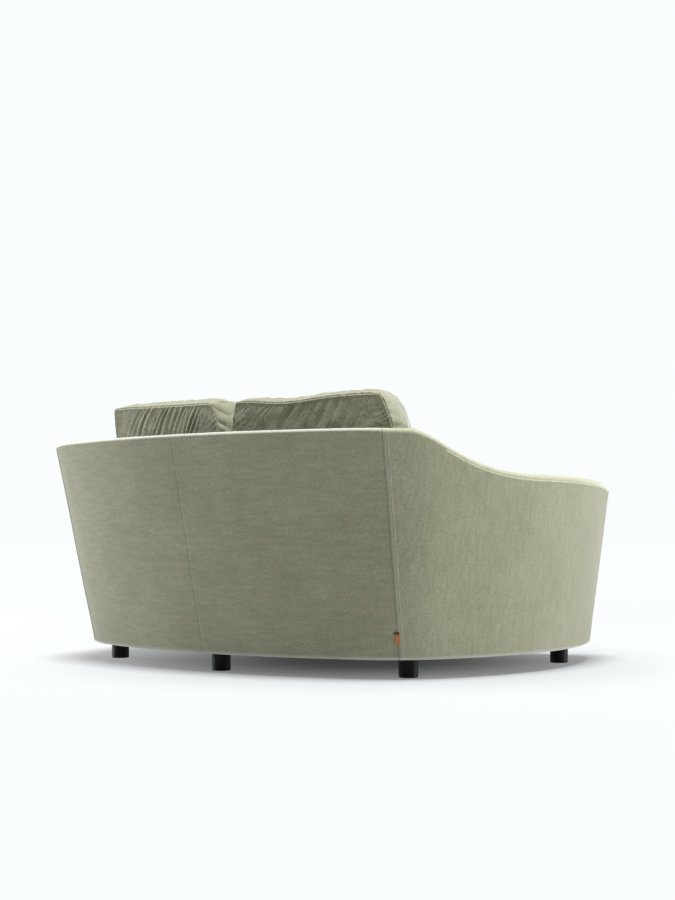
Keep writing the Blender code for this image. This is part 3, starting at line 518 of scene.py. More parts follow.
# %% The sage velvet
SAGE_DEEP, SAGE_PALE = (0.277, 0.280, 0.192), (0.305, 0.309, 0.214)
# The pale grey of the painted highlight on rims, hem and seam folds.
SAGE_HIGHLIGHT = (0.52, 0.52, 0.48)
CLOUDS, MOTTLE, NAP = 4.0, 190.0, 520.0
LAID_REACH, MOTTLE_REACH, NAP_REACH = 0.036, 0.060, 0.060
PILE = (("Sheen Weight", 0.46), ("Sheen Roughness", 0.44), ("Specular IOR Level", 0.08))


def velvet(name, streak_scale, streaks, contrast=1.0, lighter=1.0):
    """Sage velvet: clouds of laid pile, streaks stretched along the cloth, a fine mottling of
    a few millimetres, the nap itself, and a painted highlight: a pale tone as strong as the edge
    attribute."""
    made, tree, shader = new_material(name, 0.9, PILE)
    shader.inputs["Sheen Tint"].default_value = (1.0, 0.99, 0.98, 1.0)
    tones = [tuple(channel * lighter for channel in tone) for tone in (SAGE_DEEP, SAGE_PALE)]
    base = ramp(tree, add_noise(tree, CLOUDS), 0.38, 0.64, *tones)
    laid = add_noise(tree, streak_scale, streaks, detail=4.0, roughness=0.6)
    mottle = add_noise(tree, MOTTLE, roughness=0.65)
    nap = add_noise(tree, NAP, detail=2.0)
    for value, reach in ((laid, LAID_REACH), (mottle, MOTTLE_REACH), (nap, NAP_REACH)):
        low, high = 0.5 - reach * contrast, 0.5 + reach * contrast
        tone = ramp(tree, value, 0.34, 0.66, (low,) * 3, (high,) * 3)
        base = blended(tree, "OVERLAY", 1.0, base, tone)
    # Painted highlight: the tone is mixed towards pale grey as far as the edge attribute says.
    painted_highlight = tree.nodes.new("ShaderNodeAttribute")
    painted_highlight.attribute_name = "edge"
    base = blended(tree, "MIX", painted_highlight.outputs["Fac"], base, (*SAGE_HIGHLIGHT, 1.0))
    tree.links.new(base, shader.inputs["Base Color"])
    bump(tree, shader, ((laid, 0.2, 0.002), (mottle, 0.3, 0.0006), (nap, 0.35, 0.0003)))
    return made


# One velvet in three tones. The arm's is lighter, partly for its nap, which runs up and down
# there, and partly as painted light. The cushions' is darker: painted shade.
VELVET_BACK = velvet("velvet_back", 78.0, (0.2, 0.2, 1.0), lighter=0.96)
VELVET_ARM = velvet("velvet_arm", 84.0, (1.0, 1.0, 0.2), lighter=1.09)
VELVET_CUSHION = velvet("velvet_cushion", 20.0, EVEN, contrast=0.8, lighter=0.86)
print("velvets:", VELVET_BACK.name, VELVET_ARM.name, VELVET_CUSHION.name)

# %% [markdown]
# ## The lit floor
# The floor runs into the backdrop in one pale tone, with a soft shadow under the sofa. More lamps
# could lift that shadow, but they would flatten the sofa too. So the paint is dark enough not to
# burn out, and the floor glows: hardly at all under the sofa's middle, and fully a step outside
# its outline.

# %% Floor paint
GLOW_MIDDLE = (-0.14, -0.10, 0.0)
floor_paint, tree, shader = new_material("floor_paint", 0.95, (("Specular IOR Level", 0.0),))
speck = add_noise(tree, 30.0)
near_paint = ramp(tree, speck, 0.0, 1.0, (0.200, 0.209, 0.211), (0.204, 0.213, 0.215))
far_paint = ramp(tree, speck, 0.0, 1.0, (0.217, 0.226, 0.228), (0.221, 0.230, 0.232))
apart = tree.nodes.new("ShaderNodeVectorMath")
apart.operation = "DISTANCE"
apart.inputs[1].default_value = GLOW_MIDDLE
tree.links.new(object_place(tree), apart.inputs[0])
away = apart.outputs["Value"]
paint = blended(tree, "MIX", ranged(tree, away, 2.5, 7.0), near_paint, far_paint)
tree.links.new(paint, shader.inputs["Base Color"])
shader.inputs["Emission Color"].default_value = (0.98, 1.0, 1.0, 1.0)
glow = ranged(tree, away, 0.15, 1.24, low=0.05, high=0.46, kind="SMOOTHSTEP")
tree.links.new(glow, shader.inputs["Emission Strength"])
floor_mesh.materials.append(floor_paint)
print("floor glows from", GLOW_MIDDLE)

# %% [markdown]
# ## Outer cover
# The back is covered by two panels that meet at a centre seam. The side panels start at the
# corner seam and run round to the front of the arm. Each is a strip of cloth over wadding, 8 mm
# thick. Cloth this tight over a board hardly moves, so a simulation would only blur its seams.
# Instead an outline loop is carried along the wall. Close to a seam the cloth dives in, and it
# puckers a little where the thread holds it.

# %% Seams of a panel
PANEL, PARTING, PANEL_STEP = 8 * MM, 0.2 * MM, 4 * MM
PANEL_ROWS, CREST_ROWS, INNER_ROWS = 140, 16, 4
EDGE_ROUND, FOOT_ROUND = 3.5 * MM, 7 * MM
EDGE_TURN = math.radians(84.0)
EDGE_WIDER, TIGHT_SHARE = 1.15, 0.58
STITCH_ROWS, FOLD_WIDTH = (3.5 * MM, 10.0 * MM), 12 * MM
# Strengths of the painted highlight: top edge, seam fold, and the back and arm rolls.
HEAD_HIGHLIGHT, FOLD_HIGHLIGHT, ROLL_HIGHLIGHT = 0.6, 0.1, (0.5, 0.3)
swell, ripple, pucker = noise_field(3, 0.45), noise_field(5, 0.13), noise_field(8, 0.018)


def panel_top(at):
    """The foot of the rounded top edge, as a column."""
    return rim_height(np.abs(at))[:, None] - ROLL_RADIUS


def bell(distance, width):
    """1 in the middle, falling to nothing within about twice the width."""
    return np.exp(-((distance / width) ** 2))


def seam_profile(distance, kind):
    """How deep the cloth lies this far from a seam.

    A plain seam is a narrow valley. At a topstitched seam the lower cloth dives under, and the
    upper one carries a raised fold with a groove under each of its two rows of thread."""
    if kind == "plain":
        return 0.8 * MM * bell(distance, 2.0 * MM) + 0.4 * MM * np.exp(-distance / (10 * MM))
    if kind == "under":
        return 0.9 * MM * bell(distance, 3.2 * MM) + 0.6 * MM * np.exp(-distance / (14 * MM))
    fold = smooth(distance / (1.8 * MM)) * (1.0 - smooth((distance - FOLD_WIDTH) / (4 * MM)))
    rows = sum(bell(distance - row, 1.1 * MM) for row in STITCH_ROWS)
    return 0.7 * MM * bell(distance, 1.0 * MM) - 1.5 * MM * fold + 0.7 * MM * rows


def cloth_depth(at, height, seams):
    """How deep the outer cloth lies: its seams' profiles, less a swell and ripple of under a
    millimetre, and less the puckers that the thread pulls beside each seam."""
    puffed = 0.5 * MM * swell(at, height) + 0.22 * MM * ripple(at, height)
    profile, near = 0.0 * height, 0.0 * height
    for seam, kind in seams:
        profile = profile + seam_profile(np.abs(at - seam), kind)
        near = near + np.exp(-np.abs(at - seam) / (20 * MM)) * (0.5 if kind == "plain" else 1.0)
    near = near * (0.6 + 1.4 * np.exp(-(height - BOTTOM) / (60 * MM)))
    return profile - puffed - 0.3 * MM * near * pucker(height * 0.6, at * 0.6)


print("the raised fold is", round(FOLD_WIDTH / MM), "mm wide")


# %% The rounded top edge
def edge_radius(at):
    """The rounding of the wall's outer top edge: tight along the back, full on the arms, with a
    smooth step between them."""
    full = smooth((np.abs(at) - 560 * MM) / (260 * MM))
    return ROLL_RADIUS * (TIGHT_SHARE + (1.0 - TIGHT_SHARE) * full)


def edge_arc(turn, at):
    """Depth and rise above the panel's top of the rounded edge, at an angle from upright: a
    quarter circle, a little wider than tall."""
    inward = EDGE_WIDER * edge_radius(at) * (1.0 - np.cos(turn))
    return inward, ROLL_RADIUS - edge_radius(at) * (1.0 - np.sin(turn))


def edge_end(at):
    """Where the outer cover ends on the rounded top edge: near the crest, and back down at its
    foot where the arm's end begins."""
    return EDGE_TURN * (1.0 - smooth((np.abs(at) - SIDE_END + 90 * MM) / (90 * MM)))


print("edge radius on the back:", round(float(edge_radius(0.0)) / MM, 1), "mm")


# %% Loops round a panel
def steps(start, end, size):
    """Even distances from start to end, no further apart than the size."""
    return np.linspace(start, end, max(int(abs(end - start) / size) + 1, 2))


def crowded(start, end, size, fine=0.8 * MM, reach=20 * MM):
    """Distances from start to end that crowd together near both ends, where the seams are."""
    return np.concatenate([
        steps(start, start + reach, fine),
        steps(start + reach, end - reach, size)[1:-1],
        steps(end - reach, end, fine),
    ])


def panel_rings(at, low, high, seams, rows=PANEL_ROWS, thickness=PANEL, arcs=WALL_ARCS,
                out=0.0, border=False, belly=0.0, over_edge=False):
    """Loops round a panel: up its outer face, over its top edge, down its hidden inner face.

    The outer face swells and ripples by less than a millimetre, bellies out between its edges,
    and follows the profile of each seam of the list of distances and kinds. With over_edge the
    face goes on over the rounded top edge of the wall."""
    at = at[:, None]
    rise = np.linspace(0.0, 1.0, rows)[None, :]
    height = low + (high - low) * rise
    belly_out = belly * np.sin(np.pi * rise) ** 0.7
    foot = 1.0 - np.clip((height - low) / FOOT_ROUND, 0.0, 1.0)
    head = 1.0 - np.clip((high - height) / EDGE_ROUND, 0.0, 1.0) * (1.0 - over_edge) - over_edge
    rounding = FOOT_ROUND * (1.0 - np.sqrt(1.0 - foot**2))
    rounding = rounding + EDGE_ROUND * (1.0 - np.sqrt(1.0 - head**2)) * (head < 1.0)
    depth = rounding + cloth_depth(at, height, seams) - belly_out - out
    heights, depths = [height + 0.0 * at], [depth]
    if over_edge:
        turn = edge_end(at) * np.linspace(0.0, 1.0, CREST_ROWS)[None, :]
        inward, upward = edge_arc(turn, at)
        upward = upward * (edge_end(at) > 0.0)
        settled = np.linspace(1.0, 0.6, CREST_ROWS)[None, :]
        tucked = 0.5 * MM * smooth((turn - edge_end(at) + 0.12) / 0.12)
        heights.append(high + upward - tucked * np.sin(turn))
        depths.append(inward + depth[:, -1:] * settled + tucked * np.cos(turn))
        heights.append(heights[-1][:, -1:] - 3 * MM)
        depths.append(depths[-1][:, -1:] + 1 * MM)
    back_height = low + (high - low) * np.linspace(1.0, 0.0, INNER_ROWS)[None, :]
    heights.append(back_height + 0.0 * at)
    depths.append(np.full((len(at), INNER_ROWS), thickness - out))
    heights, depths = np.concatenate(heights, axis=1), np.concatenate(depths, axis=1)
    return on_wall(at + 0.0 * heights, depths, heights, arcs, border)


print("loops of a back panel:", len(crowded(PARTING, SEAM_AT - PARTING, PANEL_STEP)))


# %% Where a panel is painted pale
def panel_highlight(at, rings, fold_from=None):
    """How strongly a panel is painted pale, a painted highlight: along its rolled foot, more on
    the arms, along its rounded top edge on the back, and on the raised fold of a topstitched seam."""
    columns = np.arange(rings.shape[1])[None, :]
    outer = columns < PANEL_ROWS
    height, along = rings[..., 2], np.abs(at[:, None])
    # Painted highlight along the hem, stronger on the arms, and along the top edge of the back.
    foot = (0.5 + 0.3 * smooth((along - 450 * MM) / (200 * MM))) * outer
    edge = foot * (1.0 - smooth((height - BOTTOM - 4 * MM) / (8 * MM)))
    head = smooth((height - panel_top(at) - 9 * MM) / (5 * MM))
    head = head * (columns < PANEL_ROWS + CREST_ROWS)
    edge = edge + HEAD_HIGHLIGHT * head * (1.0 - smooth((along - 600 * MM) / (160 * MM)))
    if fold_from:
        apart = along - fold_from
        fold = smooth(apart / (3 * MM)) * (1.0 - smooth((apart - FOLD_WIDTH) / (4 * MM)))
        edge = np.maximum(edge, FOLD_HIGHLIGHT * fold * outer)
    return edge


print("cloth of a panel is", round(PANEL / MM, 1), "mm thick")

# %% [markdown]
# ## Stitches
# Two rows of thread hold the corner seam's fold, and a row runs along each side of a cushion's
# seams. A bump or a picture could hint at them, but only real geometry keeps its shadow close up
# and stays in the mesh. There are thousands, so each is a tube of a few dozen faces, and all
# stitches of a seam are one mesh.

# %% Stitches
THREAD_PITCH, THREAD_STITCH, THREAD_RADIUS = 6.4 * MM, 4.6 * MM, 0.55 * MM
sewing_thread, tree, shader = new_material("sewing_thread", 0.7, (("Sheen Weight", 0.2),))
twist = add_noise(tree, 1500.0, detail=1.0)
thread_tone = ramp(tree, twist, 0.3, 0.7, (0.120, 0.124, 0.080), (0.185, 0.190, 0.128))
tree.links.new(thread_tone, shader.inputs["Base Color"])


def stitches(name, lines, body="frame", slot="velvet"):
    """One mesh of small rounded stitches along lines of points with outward directions.

    Each line is measured along its length. A stitch is a tube of five rings of five points that
    follows the line for its own length, arched out in the middle and sunk in at its ends."""
    tubes = []
    for line, outward in lines:
        along = length_along(line)
        starts = np.arange(THREAD_PITCH / 2, along[-1] - THREAD_PITCH / 2, THREAD_PITCH)
        share = np.linspace(-1.0, 1.0, 5)
        want = starts[:, None] + share * THREAD_STITCH / 2
        centre, out = read_line(want, along, line), read_line(want, along, outward)
        out = out / np.linalg.norm(out, axis=-1, keepdims=True)
        ahead = np.gradient(centre, axis=1)
        ahead = ahead / np.linalg.norm(ahead, axis=-1, keepdims=True)
        aside = np.cross(ahead, out)
        centre = centre + out * (THREAD_RADIUS * (0.7 - 1.1 * share**2))[None, :, None]
        wide = THREAD_RADIUS * np.sqrt(1.0 - 0.8 * share**2)
        turn = np.linspace(0.0, math.tau, 5, endpoint=False)
        ring = np.cos(turn)[:, None] * aside[:, :, None] + np.sin(turn)[:, None] * out[:, :, None]
        tubes.append(centre[:, :, None] + ring * wide[None, :, None, None])
    tubes = np.concatenate(tubes)
    sides = np.array(quads(5, 5, closed=True))
    first = np.arange(len(tubes))[:, None, None] * 25
    faces = (first + sides[None]).reshape(-1, 4).tolist()
    caps = np.stack([np.arange(5)[::-1], np.arange(20, 25)])
    faces += (first + caps[None]).reshape(-1, 5).tolist()
    mesh = bpy.data.meshes.new(name)
    mesh.from_pydata(tubes.reshape(-1, 3).tolist(), [], faces)
    mesh.shade_smooth()
    mesh.materials.append(sewing_thread)
    return dressed(put_in_scene(name, mesh), body=body, slot=slot)


# %% Covers of the back and the sides
def seam_rows(sign, count=260, start=BOTTOM + 6 * MM):
    """The two rows of thread on the raised fold of a corner seam, from the foot to the crest."""
    lines = []
    for row in STITCH_ROWS:
        at = np.full(count, sign * (SEAM_AT + row))
        height = start + (panel_top(at)[:, 0] - start) * np.linspace(0.0, 1.0, count)
        depth = cloth_depth(at, height, ((sign * SEAM_AT, "topstitched"),))
        line = on_wall(at, depth, height)
        lines.append((line, on_wall(at, depth - 1.0, height) - line))
    return lines


for side, sign in SIDES:
    at = sign * crowded(PARTING, SEAM_AT - PARTING, PANEL_STEP)
    seams = ((0.0, "plain"), (sign * SEAM_AT, "under"))
    rings = panel_rings(at, BOTTOM, panel_top(at), seams, over_edge=True)
    cover = loft(f"back_cover_{side}", rings, VELVET_BACK, panel_highlight(at, rings))
    dressed(cover, f"back_panel_{side}")
    at = sign * crowded(SEAM_AT + PARTING, ARM_SEAM_AT - PARTING, PANEL_STEP)
    seams = ((sign * SEAM_AT, "topstitched"), (sign * ARM_SEAM_AT, "plain"))
    rings = panel_rings(at, BOTTOM, panel_top(at), seams, over_edge=True)
    cover = loft(f"side_cover_{side}", rings, VELVET_ARM, panel_highlight(at, rings, fold_from=SEAM_AT))
    dressed(cover, f"side_panel_{side}")
    stitches(f"corner_stitches_{side}", seam_rows(sign))

# %% [markdown]
# ## Top roll
# A long padded roll finishes the wall's top. Its section is a flat underside with two quarter
# rounds. At the arm's front the section shrinks along the curve of the arm's end. A bevelled curve
# would make a roll quickly, but its section can't shrink on one side only, so here too every loop
# is worked out and then carried along the wall.

# %% Roll sections
QUARTER_POINTS, ROLL_STEP, ROLL_SEAM = 14, 3 * MM, 0.3 * MM
OUTER_NOSE = ARM_END_RADIUS * math.sin(END_TURN)
NOSE_LENGTH = OUTER_NOSE + INNER_END_RADIUS * (1.0 - math.sin(END_TURN))
roll_swell, roll_pucker = noise_field(12, 0.16), noise_field(15, 0.022)


def nose_cut(reach):
    """How far the arm's end has come in from the wall's outer and inner face, this far past the
    side's end: a radius less the other leg of a right triangle, on each side."""
    inner_start = OUTER_NOSE - INNER_END_RADIUS * math.sin(END_TURN)
    inner_reach = np.clip(reach - inner_start, 0.0, INNER_END_RADIUS)
    inner = INNER_END_RADIUS - np.sqrt(INNER_END_RADIUS**2 - inner_reach**2)
    outer = ARM_END_RADIUS - np.sqrt(np.clip(ARM_END_RADIUS**2 - reach**2, 0.0, None))
    beyond = WALL - 2.0 * INNER_END_RADIUS + inner
    return np.where(reach <= OUTER_NOSE, outer, beyond), inner


def roll_rings(at):
    """Loops round the roll: outer quarter round, crest, inner quarter round, flat underside. A
    quarter round goes in by its radius times one less the cosine, and up by it times the sine."""
    along = np.abs(at)[:, None]
    reach = np.clip(along - SIDE_END, 0.0, NOSE_LENGTH)
    outer, inner = nose_cut(reach)
    foot = rim_height(np.minimum(along, SIDE_END)) - ROLL_RADIUS + ROLL_SEAM
    middle, half = (outer + WALL - inner) / 2, np.maximum((WALL - inner - outer) / 2, 0.5 * MM)
    to_tip = np.clip((NOSE_LENGTH - reach) / ROLL_RADIUS, 0.0, 1.0)
    rise = (ROLL_RADIUS - ROLL_SEAM) * np.sqrt(1.0 - (1.0 - to_tip) ** 2)
    share = np.linspace(0.0, 1.0, QUARTER_POINTS)[None, :]
    inset = np.minimum(rise * EDGE_WIDER, half)
    tight = edge_radius(along) / ROLL_RADIUS
    first = edge_end(along)
    outer_turn = first + (math.pi / 2 - first) * share
    inner_turn = (share[:, ::-1] * 1.12 - 0.12) * math.pi / 2
    tuck = 0.7 * MM * bell(outer_turn - first, 0.07)
    outer_across = half - inset * tight * (1.0 - np.cos(outer_turn)) - tuck * np.cos(outer_turn)
    outer_up = foot + rise * (1.0 - tight * (1.0 - np.sin(outer_turn))) - tuck * np.sin(outer_turn)
    inner_across = half - inset * (1.0 - np.cos(inner_turn))
    inner_up = foot + rise * np.clip(np.sin(inner_turn), 0.0, 1.0)
    crest = np.linspace(1.0, -1.0, QUARTER_POINTS)[None, 1:-1]
    crown = 1.5 * MM * (1.0 - crest**2) * np.minimum(half / (WALL / 2), 1.0)
    flat_across = np.where(crest > 0.0, half - inset * tight, half - inset) * crest
    lateral, height = (
        np.concatenate([piece + 0.0 * foot for piece in pieces], axis=1)
        for pieces in (
            (outer_across, flat_across, -inner_across),
            (outer_up, foot + rise + crown, inner_up),
        )
    )
    puffed = 0.7 * MM * roll_swell(along, lateral) + 0.3 * MM * roll_pucker(along, lateral * 0.4)
    height = height + puffed * np.clip((height - foot) / ROLL_RADIUS, 0.0, 1.0)
    return along, middle - lateral, height


def nose_points(along, depth, height):
    """Points on the wall, carried straight on over the arm's end."""
    base = on_wall(np.minimum(along, SIDE_END - 1e-6), depth, height, OUTER_ARCS)
    forward = tangents(np.array(SIDE_HEADING))
    reach = np.clip(along - SIDE_END, 0.0, None)
    base[..., :2] += forward * reach[..., None]
    return base


print("the arm's nose is", round(NOSE_LENGTH / MM), "mm long")

# %% The three rolls
at = steps(-SEAM_AT + PARTING, SEAM_AT - PARTING, ROLL_STEP)
along, depth, height = roll_rings(at)
rings = on_wall(at[:, None] + 0.0 * depth, depth, height, OUTER_ARCS)
# The rolls get an even painted highlight, stronger on the back than on the arms.
dressed(loft("roll_cover_back", rings, VELVET_BACK, ROLL_HIGHLIGHT[0]), "top_roll_back")

tip = NOSE_LENGTH * np.sin(np.linspace(0.0, math.pi / 2, 40))[1:] * 0.9995
at = np.concatenate([steps(SEAM_AT + PARTING, SIDE_END, ROLL_STEP), SIDE_END + tip])
along, depth, height = roll_rings(at)
rings = nose_points(along + 0.0 * depth, depth, height)
for side, sign in SIDES:
    piece = loft(f"roll_cover_{side}", mirrored(rings, sign), VELVET_ARM, ROLL_HIGHLIGHT[1])
    dressed(piece, f"top_roll_{side}")

# %% [markdown]
# ## Inside of the wall and front border
# The inner pads are the same kind of strip, thicker, on the wall's inner face. The arm's pad runs
# round the arm's front end. The front border is a low strip from arm to arm that follows the
# hollow front. They could be padded like the cushions, but they are stretched over boards, so the
# same loops serve them, with a deeper dive where a back pad meets an arm pad.

# %% Inner pads
INNER_PAD, PAD_ROWS, PAD_STEP = 28 * MM, 70, 6 * MM
SEAT_BOTTOM = 212.6 * MM


def inner_rings(at, low, high, seams):
    """Loops round an inner pad. Distances are the outer face's, and the pad faces the seat. Its
    depth is the wall's thickness less a round edge and a bell-shaped dive at each seam, plus a
    swell."""
    at = at[:, None]
    height = low + (high - low) * np.linspace(0.0, 1.0, PAD_ROWS)[None, :]
    edge = 1.0 - np.clip(np.minimum(height - low, high - height) / EDGE_ROUND, 0.0, 1.0)
    rounding = EDGE_ROUND * (1.0 - np.sqrt(1.0 - edge**2))
    dive = sum(4 * MM * bell(np.abs(at - seam), 8 * MM) for seam in seams)
    inward = rounding + dive - 0.8 * MM * swell(at, height)
    back = low + (high - low) * np.linspace(1.0, 0.0, INNER_ROWS)[None, :]
    heights = np.concatenate([height + 0.0 * at, back + 0.0 * at], axis=1)
    hidden = np.full((len(at), INNER_ROWS), WALL - INNER_PAD)
    depths = np.concatenate([WALL - inward, hidden], axis=1)
    return on_wall(at + 0.0 * heights, depths, heights, OUTER_ARCS)


print("the pads are", round(INNER_PAD / MM), "mm thick")

# %% The four inner pads
arm_seam = ((ARM_SEAM_AT, "plain"),)
at = steps(INNER_CORNER_AT + PARTING, SIDE_END, PAD_STEP)
inner = inner_rings(at, BORDER_TOP, panel_top(at), (INNER_CORNER_AT,))
at = steps(INNER_START, ARM_SEAM_AT + PARTING, 3 * MM)[1:]
top = panel_top(np.full(len(at), SIDE_END))
end = panel_rings(at, BORDER_TOP, top, arm_seam, rows=PAD_ROWS, thickness=INNER_PAD)
want, given = (np.linspace(0.0, 1.0, count) for count in (inner.shape[1], end.shape[1]))
arm_rings = np.concatenate([inner, [read_line(want, given, ring) for ring in end]])
for side, sign in SIDES:
    at = sign * steps(PARTING, INNER_CORNER_AT - PARTING, PAD_STEP)
    rings = inner_rings(at, SEAT_BOTTOM, panel_top(at), (0.0, sign * INNER_CORNER_AT))
    dressed(loft(f"inner_back_cover_{side}", rings, VELVET_BACK), f"inner_back_pad_{side}")
    piece = loft(f"inner_arm_cover_{side}", mirrored(arm_rings, sign), VELVET_ARM)
    dressed(piece, f"inner_arm_pad_{side}")

# %% Front border
BORDER, BORDER_PROUD, BORDER_ROWS = 14 * MM, 3 * MM, 44
half = steps(ARM_SEAM_AT + PARTING, FRONT_MIDDLE, PANEL_STEP)
top = np.full((len(half), 1), BORDER_TOP)
right = panel_rings(half, BOTTOM, top, arm_seam, rows=BORDER_ROWS, thickness=BORDER,
                    arcs=BASE_ARCS, out=BORDER_PROUD, border=True, belly=2 * MM)
left = mirrored(right[-2::-1], -1.0)
dressed(loft("border_cover", np.concatenate([right, left]), VELVET_ARM), "front_border")

# %% [markdown]
# ## Loose cushions
# Each cushion is a front and a back panel joined by a boxing strip. A sculpted or subdivided block
# would be quick, but its seams would wander. So it starts as the surface of a unit cube whose
# points a formula moves into the cushion's shape, with crisp seam lines that later steps find by
# their shares along the cube.

# %% The cube's surface
def cuts(length, size, fine=3 * MM, count=3):
    """Shares along a side where the grid is cut: a few fine cells at each end, then even ones."""
    ends = np.arange(count) * fine
    middle = steps(count * fine, length - count * fine, size)
    return np.concatenate([ends, middle, (length - ends)[::-1]]) / length


def cube_surface(us, vs, ws):
    """The welded surface of a unit cube, cut at the given shares along its three sides: six
    grids whose corners are numbered by their place in space, so shared edges weld themselves."""
    counts = (len(us) - 1, len(vs) - 1, len(ws) - 1)
    stride = max(counts) + 1
    corners = []
    for axis in range(3):
        first, second = [a for a in range(3) if a != axis]
        i, j = np.meshgrid(np.arange(counts[first]), np.arange(counts[second]), indexing="ij")
        for level in (0, counts[axis]):
            key = np.zeros((*i.shape, 4, 3), int)
            key[..., axis] = level
            key[..., first] = i[..., None] + np.array([0, 1, 1, 0])
            key[..., second] = j[..., None] + np.array([0, 0, 1, 1])
            flat = ((key[..., 0] * stride + key[..., 1]) * stride + key[..., 2]).reshape(-1, 4)
            corners.append(flat if (level > 0) == (axis != 1) else flat[:, ::-1])
    keys, faces = np.unique(np.concatenate(corners), return_inverse=True)
    i, j, k = keys // stride**2, keys // stride % stride, keys % stride
    return np.stack([us[i], vs[j], ws[k]], -1), faces.reshape(-1, 4).tolist()


def hump(share):
    """Zero at both ends and one in the middle: half a sine wave."""
    return np.sin(np.pi * np.clip(share, 0.0, 1.0))


def rounded_corners(a, b, amount, power=10):
    """Pull the corners of a unit square towards its middle and leave its sides alone."""
    x, y = 2.0 * a - 1.0, 2.0 * b - 1.0
    keep = 1.0 - amount * (np.abs(x) * np.abs(y)) ** power
    return 0.5 + 0.5 * x * keep, 0.5 + 0.5 * y * keep


print("cuts across a back cushion:", len(cuts(552 * MM, 6.5 * MM)))

# %% [markdown]
# ## Filling
# A filled cover is a little too large for its filling and swells between its seams. A formula can
# give the broad belly, but not how the cloth gives way near a corner, so Blender's Cloth inflates
# each cushion. The seams are pinned, gravity is off and the air inside presses outwards.

# %% Inflating with Cloth
CLOTH_QUALITY, CLOTH_MASS, PIN_STIFFNESS = 6, 0.3, 6.0
STRETCH_STIFFNESS, SHEAR_STIFFNESS, BEND_STIFFNESS = 12.0, 6.0, 0.4


def inflate(piece, pinned, pressure, slack, frames=20, cap=24 * MM):
    """Swell a closed mesh with the Cloth modifier, pinned at its seams, and bake the result in.

    The cloth is made larger than the mesh by the slack, gravity is off, and no point moves
    further than the cap."""
    before = read_rows(piece.data.vertices, "co")
    group = piece.vertex_groups.new(name="seams")
    for share in np.unique(pinned[pinned > 0.0]):
        group.add(np.flatnonzero(pinned == share).tolist(), float(share), "REPLACE")
    cloth = piece.modifiers.new("swell", "CLOTH")
    settings = cloth.settings
    settings.quality, settings.mass = CLOTH_QUALITY, CLOTH_MASS
    settings.tension_stiffness = settings.compression_stiffness = STRETCH_STIFFNESS
    settings.shear_stiffness, settings.bending_stiffness = SHEAR_STIFFNESS, BEND_STIFFNESS
    settings.use_pressure = True
    settings.uniform_pressure_force = pressure
    settings.vertex_group_mass = "seams"
    settings.pin_stiffness = PIN_STIFFNESS
    settings.shrink_min = -slack
    settings.effector_weights.gravity = 0.0
    cloth.collision_settings.use_collision = False
    cloth.collision_settings.use_self_collision = False
    cloth.point_cache.frame_start, cloth.point_cache.frame_end = 1, frames
    for number in range(1, frames + 1):
        scene.frame_set(number)
    swollen = piece.evaluated_get(bpy.context.evaluated_depsgraph_get()).to_mesh()
    moved = read_rows(swollen.vertices, "co") - before
    piece.modifiers.remove(cloth)
    scene.frame_set(1)
    length = np.linalg.norm(moved, axis=1, keepdims=True)
    after = before + moved * np.minimum(1.0, cap / np.maximum(length, 1e-9))
    piece.data.vertices.foreach_set("co", after.ravel())
    piece.data.update()
    print(piece.name, "moved by up to", round(float(length.max() / MM), 1), "mm")


# %% [markdown]
# ## Seams and gathers
# The filling is stiffer than the cloth, so the cover gathers in short pleats along every seam.
# Cloth could make them only on a far finer mesh, and slowly. They are added after the swelling as
# heights over the surface: functions of the distances along and away from each seam. The seam
# itself is a groove between two raised lips.

# %% Seams and gathers of a cushion
SEAM_LIPS_AT, SEAM_STITCHES_AT = 5 * MM, 4.5 * MM


def distances(shares, sizes):
    """Distances to the seams of a cushion whose panels are its faces of third share 0 and 1.

    Returns the distance on the panel to its nearest side, and on the boxing to its nearest
    panel. One of the two is zero on every point."""
    first, second, third = (share * size for share, size in zip(shares, sizes))
    on_panel = np.min([first, sizes[0] - first, second, sizes[1] - second], axis=0)
    on_boxing = np.minimum(third, sizes[2] - third)
    return np.maximum(on_panel, 0.0), np.maximum(on_boxing, 0.0)


def gathers(along, away, spacing, reach, slant=0.0, seed=1, sharp=0.7, bend=400 * MM):
    """Pleats that start at a seam and fade with the distance away from it. Each is the power of
    a sine, so its ridge is round and its valley sharp. They wander, and some are stronger. They
    start aslant and straighten within about the length of the bend."""
    line = along - slant * bend * (1.0 - np.exp(-away / bend))
    phase = math.pi * line / spacing + 1.5 * noise_field(seed, 5.0 * spacing)(line, 0.4 * away)
    uneven = noise_field(seed + 1, 4.0 * spacing)(line, 0.1 * away)
    strength = 0.6 + 0.6 * np.clip(uneven, -1.0, 1.4)
    fade = np.exp(-((away / reach) ** 1.5))
    return (np.abs(np.sin(phase)) ** sharp - 0.62) * strength * fade


print("lips stand", round(SEAM_LIPS_AT / MM), "mm from a cushion's seam")


